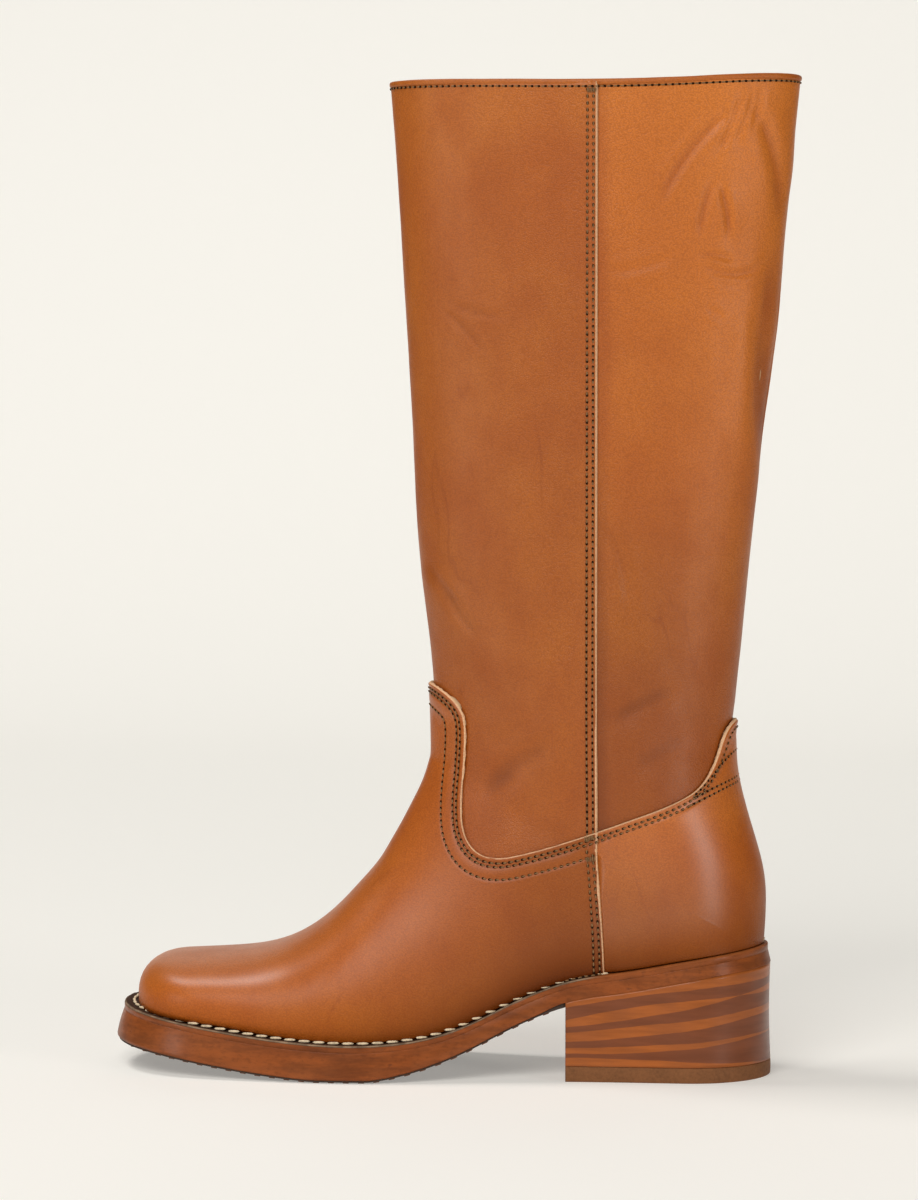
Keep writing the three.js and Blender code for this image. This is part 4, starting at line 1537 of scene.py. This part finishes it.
def slab(name, rims, material, start=None, end=None):
    """A layer of the sole: at each x a closed loop down its outer edge, across underneath,
    up its inner edge and across on top. rims lists the edge from top to bottom, each as
    an inset and a height, both functions of x."""
    outer, inner = [], []
    for inset, height in rims:
        outline = Outline(inset)
        x = rim_path(outline, start, end)
        half = outline.half(x)
        outer.append(np.stack([x, sole_centre(x) - half, height(x)], -1))
        inner.append(np.stack([x, sole_centre(x) + half, height(x)], -1))
    outer, inner = np.stack(outer, 1), np.stack(inner, 1)
    share = np.linspace(0, 1, 18)[1:-1, None]
    under = lerp(outer[:, -1:], inner[:, -1:], share)
    over = lerp(inner[:, :1], outer[:, :1], share)
    loop = np.concatenate([outer, under, inner[:, ::-1], over], 1)
    rows, columns = loop.shape[:2]
    piece = add_mesh(name, loop, grid_faces(rows, columns, wrap_columns=True), [material])
    cuts = [row for row, cut in ((0, start), (rows - 1, end)) if cut is not None]
    if cuts:
        close_rows(piece, columns, cuts)
    merge_doubles(piece, 0.004)
    return piece


def close_rows(piece, columns, rows):
    """Closes the straight cuts of a layer, each with one face cut into triangles."""
    shape = bmesh.new()
    shape.from_mesh(piece.data)
    shape.verts.ensure_lookup_table()
    for row in rows:
        face = shape.faces.new([shape.verts[row * columns + i] for i in range(columns)])
        bmesh.ops.triangulate(shape, faces=[face])
    shape.to_mesh(piece.data)
    shape.free()


def rounded_edge(inset, top, bottom, radius, bulge=0.0, steps=10):
    """Edge of a layer from its top to its underside: rounded corners of that radius and a
    side that swells by bulge in the middle."""
    rims = []
    for a in np.linspace(0, math.pi / 2, 4):
        rims.append((shift(inset, radius * (1 - math.sin(a))),
                     shift(top, -radius * (1 - math.cos(a)))))
    for s in np.linspace(0, 1, steps)[1:-1]:
        rims.append((
            lambda x, s=s: inset(x) - bulge * math.sin(s * math.pi),
            lambda x, s=s: lerp(top(x) - radius, bottom(x) + radius, s),
        ))
    for a in np.linspace(math.pi / 2, 0, 4):
        rims.append((shift(inset, radius * (1 - math.sin(a))),
                     shift(bottom, radius * (1 - math.cos(a)))))
    return rims


def shift(function, by):
    """The function plus a number."""
    return lambda x: function(x) + by


def outsole_bottom(x):
    """Underside of the sole leather: close over the ground in front, higher on the heel."""
    rise = TREAD_THICKNESS + GAP - SOLE_OVER_TREAD
    return tread_bottom(x) + SOLE_OVER_TREAD + rise * smooth((x - 184) / 12)


# Lines of the welt's profile: roughened ones, the trimmed edge, and those whose faces are
# stained like the sole's edge. The stitches end a little behind the front of the heel.
ROUGH_LINES = range(3, 8)
TRIM_LINES = (3, 4)
SIDE_LINES = (0, 1, 14, 15, 16)
WELT_STITCH_END = 216.0


def make_welt(sizes, colours):
    """Welt: a flat ring round the foot with a rough trimmed edge, a stitch channel and
    thick cream stitches in front of the heel."""
    count = 500
    q = np.linspace(0, 2 * math.pi, count, endpoint=False)

    def ring(outline):
        x = lerp(outline.start, outline.end, (1 - np.cos(q)) / 2)
        side = np.where(q <= math.pi, -1.0, 1.0)
        return np.stack([x, sole_centre(x) + side * outline.half(x)], -1)

    edge, core = ring(Outline(welt_inset)), ring(Outline(shift(feather_inset, 5.0)))
    outwards = (edge - core) / np.linalg.norm(edge - core, axis=1, keepdims=True)
    foot = smooth((205 - edge[:, 0]) / 10)
    # Shares of the way from the outer edge to the inner one, and heights over the top.
    profile = [
        (0.0, -3.15), (0.0, -1.8), (0.0, -0.85), (0.01, -0.5), (0.03, -0.2), (0.07, 0.0),
        (0.13, 0.05), (0.2, -0.02), (0.26, -0.2), (0.31, -0.25), (0.37, -0.15), (0.45, 0.0),
        (0.6, 0.05), (0.8, 0.0), (1.0, 0.0), (1.0, -3.0), (0.5, -3.0),
    ]
    rng = np.random.default_rng(21)
    rough = np.convolve(rng.normal(size=count + 20), np.ones(3) / 3, "same")[10:-10]
    lines = []
    for k, (way, height) in enumerate(profile):
        place = lerp(edge, core, way)
        z = welt_top(place[:, 0]) + height
        if k in ROUGH_LINES:
            place = place + outwards * (0.2 * np.roll(rough, 7 * k) * foot)[:, None]
            z = z + 0.12 * np.roll(rough, 3 * k + 1) * foot
        lines.append(np.column_stack([place, z]))
    points = np.stack(lines, 1)
    faces = grid_faces(*points.shape[:2], wrap_rows=True, wrap_columns=True)
    stained = np.tile(np.isin(np.arange(len(profile)), SIDE_LINES), count)
    trimmed = np.tile(np.isin(np.arange(len(profile)), TRIM_LINES) * 1.0, (count, 1))
    piece = add_mesh("welt_strip", points, faces, [
        material("welt", welt_material, colours), sole_edge(colours)], stained.astype(int))
    add_attribute(piece, "trim", trimmed)
    merge_doubles(piece, 0.004)
    finish_piece(piece, "welt_leather", "welt")
    line = lerp(edge, core, 0.3)
    path = np.column_stack([line, welt_top(line[:, 0]) + 0.35])
    path = np.roll(path, -(count // 2), axis=0)  # from the heel round the toe and back
    path = path[path[:, 0] < WELT_STITCH_END]
    up = np.tile([0.0, 0.0, 1.0], (len(path), 1))
    cream = material("cream_thread", thread_material, "cream_thread", colours.welt_thread, 0.0012)
    pitch = sizes.welt_pitch / MM
    stitches = add_stitches("welt_stitches", [(path, up)], pitch, (pitch * 0.84, 1.35, 1.3),
                            cream, skew=0.1, sink=-0.1)
    finish_piece(stitches, "cream_thread")


def make_outsole(colours):
    """Leather sole: polished edge, swelling a little and with a soft lower corner ahead
    of the heel, flush with the heel behind it."""
    top = shift(welt_top, -WELT_THICKNESS - GAP * 0.2)

    def inset(x, s):
        corner = 0.9 * max(0.0, (s - 0.93) / 0.07) ** 2
        free = smooth((HEEL_BREAST - x) / 12)
        return welt_inset(x) * (1 - s) + free * (corner - 0.35 * math.sin(math.pi * s))

    shares = np.concatenate([np.linspace(0, 0.12, 5), np.linspace(0.12, 1, 22)[1:]])
    rims = [
        (lambda x, s=s: inset(x, s), lambda x, s=s: lerp(top(x), outsole_bottom(x), s))
        for s in shares
    ]
    piece = slab("sole_leather", rims, sole_edge(colours))
    finish_piece(piece, "sole_leather", "outsole")


def make_tread(colours):
    """Thin rubber sheet with small nubs on its underside."""
    rims = rounded_edge(shift(flush, TREAD_INSET), shift(outsole_bottom, -0.05),
                        shift(tread_bottom, NUB_HEIGHT), 0.2, 0.0, 4)
    rubber = material("rubber", rubber_material, "rubber", colours.tread, 0.62)
    piece = slab("tread_sheet", rims, rubber, end=HEEL_BREAST - GAP)
    finish_piece(piece, "rubber", "tread")
    outline = Outline(shift(flush, 3.0))
    centres = []
    for x in np.arange(6.0, HEEL_BREAST - 2, NUB_PITCH):
        half = float(outline.half(x))
        number = max(2, int(round(2 * half / NUB_PITCH)))
        y = sole_centre(x) + np.linspace(-half, half, number)
        centres.append(np.column_stack([np.full(number, x), y]))
    centres = np.concatenate(centres)
    ring = np.array([[-1, -1], [1, -1], [1, 1], [-1, 1]]) * (1.2, 1.1)
    base = tread_bottom(centres[:, 0])
    slope = (tread_bottom(centres[:, 0] + 1) - tread_bottom(centres[:, 0] - 1)) / 2
    rows = []
    for grow, height in ((0.9, 0.0), (1.0, 0.15), (1.15, NUB_HEIGHT + 0.2)):
        corner = ring * grow
        x = centres[:, None, 0] + corner[None, :, 0]
        y = centres[:, None, 1] + corner[None, :, 1]
        z = base[:, None] + slope[:, None] * corner[None, :, 0] + height
        rows.append(np.stack([x, y, np.maximum(z, height * 0.999)], -1))
    points = np.concatenate(rows, 1)
    faces = [[3, 2, 1, 0], [8, 9, 10, 11]]
    for k in (0, 4):
        faces += [[k + i, k + (i + 1) % 4, k + 4 + (i + 1) % 4, k + 4 + i] for i in range(4)]
    faces = copied_faces(np.array(faces), len(centres), 12)
    nubs = add_mesh("tread_nubs", points, faces,
                    [material("nub_rubber", rubber_material, "nub_rubber", colours.nub, 0.6)],
                    smooth_faces=False)
    finish_piece(nubs, "rubber")


def make_heel(colours):
    """Stacked heel, a little hollow in its side, and the rubber block that it stands on."""
    rims = [
        (shift(flush, 0.15 * (1 - s) + 0.5 * math.sin(math.pi * s)),
         lambda x, s=s: lerp(outsole_bottom(x) - 0.05, TOP_LIFT_THICKNESS + 0.1, s))
        for s in np.linspace(0, 1, 30)
    ]
    stack = material("stack", stack_material, colours)
    piece = slab("heel_layers", rims, stack, start=HEEL_BREAST)
    finish_piece(piece, "sole_leather", "heel_stack")
    rims = rounded_edge(flush, shift(flush, TOP_LIFT_THICKNESS), flush, 0.5, 0.1, 6)
    rubber = material("top_lift", rubber_material, "top_lift", colours.rubber, 0.5)
    lift = slab("heel_rubber", rims, rubber, start=HEEL_BREAST)
    finish_piece(lift, "rubber", "top_lift")


def finish_insole(colours):
    """The insole stays as packed and takes the lining's finish."""
    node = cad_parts["insole"]
    node.data.materials.clear()
    node.data.materials.append(lining(colours))


# --- Stage -----------------------------------------------------------------------------

# Soft boxes: name, place, size and radiance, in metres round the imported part.
SOFT_BOXES = (
    ("left_box", (-3.3, -2.8, 0.75), (0.9, 1.5), 7.3),
    ("right_box", (3.6, -2.75, 0.7), (1.3, 1.2), 10.5),
    ("fill_box", (-0.4, -3.4, 2.7), (2.4, 2.0), 6.3),
    ("over_box", (-1.8, 0.3, 4.0), (1.2, 1.2), 14.0),
)
LIGHT_COLOUR = (1.0, 0.985, 0.96)
BOOT_MIDDLE = (0.0, 0.0, 0.25)
CAMERA_PLACE = (437.2, -2179.9, 342.7)  # in the last's frame
CAMERA_YAW = math.radians(7.57)  # to the left
CAMERA_PITCH = math.radians(3.74)  # down
CAMERA_LENS = 156.26


def floor_material(colours):
    """Matt pale floor that glows a little, so that it stays even up to the wall."""
    sheet = Sheet("floor", Specular_IOR_Level=0.0, Emission_Strength=0.31,
                  Emission_Color=rgb(colours.floor))
    fine = sheet.noise(0.4, 2.0)
    rise = sheet.ramp(sheet.axis("Z"), 0.0, 1.3)
    sheet.feed("Base Color", sheet.mix(
        0.9 * rise + fine * 0.02, scaled(colours.floor, 0.87), scaled(colours.floor, 0.75)))
    sheet.feed("Roughness", 0.9 + 0.05 * fine)
    return sheet.material


def add_backdrop(colours):
    """Floor that curves up into a wall behind the boot: a profile swept from side to
    side."""
    width, near, far, rise, radius = 1250.0, -1250.0, 2300.0, 2400.0, 900.0
    turn = np.linspace(0, math.pi / 2, 24)
    y = np.concatenate([[near], far - radius + radius * np.sin(turn), [far]])
    z = np.concatenate([[0.0], radius * (1 - np.cos(turn)), [rise]])
    x = np.array([-width, width])
    points = np.stack([
        np.broadcast_to(x[None], (len(y), 2)),
        np.broadcast_to(y[:, None], (len(y), 2)),
        np.broadcast_to(z[:, None], (len(y), 2)),
    ], -1)
    floor = add_mesh("studio_floor", points - np.array([SHIFT[0], SHIFT[1], 0.0]),
                     grid_faces(len(y), 2)[:, ::-1], [floor_material(colours)])


def add_light(name, place, size, glow):
    """Soft box: a rectangular light of that size and radiance, turned to the boot."""
    data = bpy.data.lights.new(name, "AREA")
    data.shape = "RECTANGLE"
    data.size, data.size_y = size
    data.energy = glow * math.pi * size[0] * size[1]
    data.color = LIGHT_COLOUR
    light = bpy.data.objects.new(name, data)
    light.location = place
    way = Vector(BOOT_MIDDLE) - Vector(place)
    light.rotation_euler = way.to_track_quat("-Z", "Y").to_euler()
    bpy.context.scene.collection.objects.link(light)


def make_stage(colours):
    """Pale floor, soft boxes, sky light and camera."""
    add_backdrop(colours)
    for name, place, size, glow in SOFT_BOXES:
        add_light(name, place, size, glow)
    world = bpy.data.worlds.new("studio")
    bpy.context.scene.world = world
    world.use_nodes = True
    sky = world.node_tree.nodes["Background"]
    sky.inputs["Color"].default_value = (0.93, 0.925, 0.9, 1.0)
    sky.inputs["Strength"].default_value = 0.1
    data = bpy.data.cameras.new("camera")
    camera = bpy.data.objects.new("camera", data)
    camera.location = tuple((np.array(CAMERA_PLACE) + SHIFT) * MM)
    camera.rotation_euler = (math.pi / 2 - CAMERA_PITCH, 0.0, CAMERA_YAW)
    data.sensor_width = 36.0
    data.lens = CAMERA_LENS
    data.clip_end = 50.0
    bpy.context.scene.collection.objects.link(camera)
    bpy.context.scene.camera = camera
    bpy.context.scene.view_settings.view_transform = "Standard"


# --- Properties, operators and panel ---------------------------------------------------


def length_property(name, description, default):
    return bpy.props.FloatProperty(
        name=name, description=description, default=default, min=0.0, unit="LENGTH"
    )


def colour_property(name, description, default):
    return bpy.props.FloatVectorProperty(
        name=name, description=description, default=default, subtype="COLOR",
        size=3, min=0.0, max=1.0,
    )


class BootSizes(bpy.types.PropertyGroup):
    """Sizes that a user would change."""

    seam_pitch: length_property("Seam stitch", "Length of a stitch of the leather seams", 0.0028)
    welt_pitch: length_property("Welt stitch", "Length of a stitch of the welt", 0.0062)


class BootColours(bpy.types.PropertyGroup):
    """Colours of the leather, threads and sole."""

    leather: colour_property("Leather", "Main colour of the leather", (0.46, 0.11, 0.0095))
    # The dark and light leather colours also give the painted shade and the painted highlight
    # that the attribute tone brings in.
    leather_dark: colour_property("Leather, dark", "Darker clouds", (0.34, 0.068, 0.006))
    leather_light: colour_property("Leather, light", "Lighter clouds", (0.55, 0.165, 0.018))
    raw_edge: colour_property("Cut edge", "Cut edges of the leather", (0.8, 0.48, 0.27))
    lining: colour_property("Lining", "Lining leather", (0.55, 0.36, 0.2))
    thread: colour_property("Thread", "Thread of the seams", (0.27, 0.15, 0.065))
    welt_thread: colour_property("Welt thread", "Thread of the welt", (0.92, 0.74, 0.5))
    welt: colour_property("Welt", "Welt round the foot", (0.075, 0.032, 0.016))
    welt_edge: colour_property("Welt edge", "Trimmed edge of the welt", (0.3, 0.2, 0.125))
    rand: colour_property("Rand", "Welt round the heel", (0.3, 0.083, 0.018))
    sole: colour_property("Sole edge", "Stained edge of the sole", (0.27, 0.066, 0.0125))
    sole_light: colour_property("Light layers", "Light layers of the heel", (0.4, 0.108, 0.02))
    stack_dark: colour_property("Dark layers", "Dark layers of the heel", (0.2, 0.057, 0.02))
    rubber: colour_property("Heel rubber", "Rubber block of the heel", (0.2, 0.08, 0.03))
    tread: colour_property("Tread", "Rubber sheet of the sole", (0.06, 0.04, 0.03))
    nub: colour_property("Nubs", "Nubs of the tread", (0.17, 0.07, 0.035))
    floor: colour_property("Floor", "Floor and backdrop", (0.88, 0.862, 0.815))


class BootOperator:
    """What the boot's operators share: they run make with the scene's properties."""

    bl_options = {"REGISTER", "UNDO"}

    def execute(self, context):
        self.build(context.scene.boot_sizes, context.scene.boot_colours)
        return {"FINISHED"}


class BOOT_OT_shaft(BootOperator, bpy.types.Operator):
    """Builds the shaft's front and back leather"""

    bl_idname = "boot.shaft"
    bl_label = "Shaft"

    def build(self, sizes, colours):
        make_shaft(colours)


class BOOT_OT_foot(BootOperator, bpy.types.Operator):
    """Builds the vamp and the counter"""

    bl_idname = "boot.foot"
    bl_label = "Vamp and Counter"

    def build(self, sizes, colours):
        make_foot(colours)


class BOOT_OT_lining(BootOperator, bpy.types.Operator):
    """Builds the lining and finishes the insole"""

    bl_idname = "boot.lining"
    bl_label = "Lining and Insole"

    def build(self, sizes, colours):
        make_lining(colours)
        finish_insole(colours)


class BOOT_OT_collar(BootOperator, bpy.types.Operator):
    """Builds the folded edge of the collar"""

    bl_idname = "boot.collar"
    bl_label = "Collar Edge"

    def build(self, sizes, colours):
        make_collar(colours)


class BOOT_OT_stitches(BootOperator, bpy.types.Operator):
    """Sews the leather seams"""

    bl_idname = "boot.stitches"
    bl_label = "Seam Stitches"

    def build(self, sizes, colours):
        make_stitches(sizes, colours)


class BOOT_OT_welt(BootOperator, bpy.types.Operator):
    """Builds the welt and its stitches"""

    bl_idname = "boot.welt"
    bl_label = "Welt"

    def build(self, sizes, colours):
        make_welt(sizes, colours)


class BOOT_OT_sole(BootOperator, bpy.types.Operator):
    """Builds the leather sole and its rubber tread"""

    bl_idname = "boot.sole"
    bl_label = "Sole and Tread"

    def build(self, sizes, colours):
        make_outsole(colours)
        make_tread(colours)


class BOOT_OT_heel(BootOperator, bpy.types.Operator):
    """Builds the stacked heel and its rubber block"""

    bl_idname = "boot.heel"
    bl_label = "Heel"

    def build(self, sizes, colours):
        make_heel(colours)


class BOOT_OT_stage(BootOperator, bpy.types.Operator):
    """Sets up the floor, the lights and the camera"""

    bl_idname = "boot.stage"
    bl_label = "Studio"

    def build(self, sizes, colours):
        make_stage(colours)


OPERATORS = (
    BOOT_OT_shaft, BOOT_OT_foot, BOOT_OT_lining, BOOT_OT_collar, BOOT_OT_stitches,
    BOOT_OT_welt, BOOT_OT_sole, BOOT_OT_heel, BOOT_OT_stage,
)


class BOOT_PT_panel(bpy.types.Panel):
    """Lists the boot's sizes, colours and operators"""

    bl_idname = "BOOT_PT_panel"
    bl_label = "Boot"
    bl_space_type = "VIEW_3D"
    bl_region_type = "UI"
    bl_category = "Boot"

    def draw(self, context):
        for group in (context.scene.boot_sizes, context.scene.boot_colours):
            for name in type(group).__annotations__:
                self.layout.prop(group, name)
        for operator in OPERATORS:
            self.layout.operator(operator.bl_idname)


CLASSES = (BootSizes, BootColours, *OPERATORS, BOOT_PT_panel)


def register():
    for made in CLASSES:
        bpy.utils.register_class(made)
    bpy.types.Scene.boot_sizes = bpy.props.PointerProperty(type=BootSizes)
    bpy.types.Scene.boot_colours = bpy.props.PointerProperty(type=BootColours)


def unregister():
    del bpy.types.Scene.boot_sizes
    del bpy.types.Scene.boot_colours
    for made in reversed(CLASSES):
        bpy.utils.unregister_class(made)


def main():
    register()
    for operator in OPERATORS:
        group, name = operator.bl_idname.split(".")
        getattr(getattr(bpy.ops, group), name)()


if __name__ == "__main__":
    main()
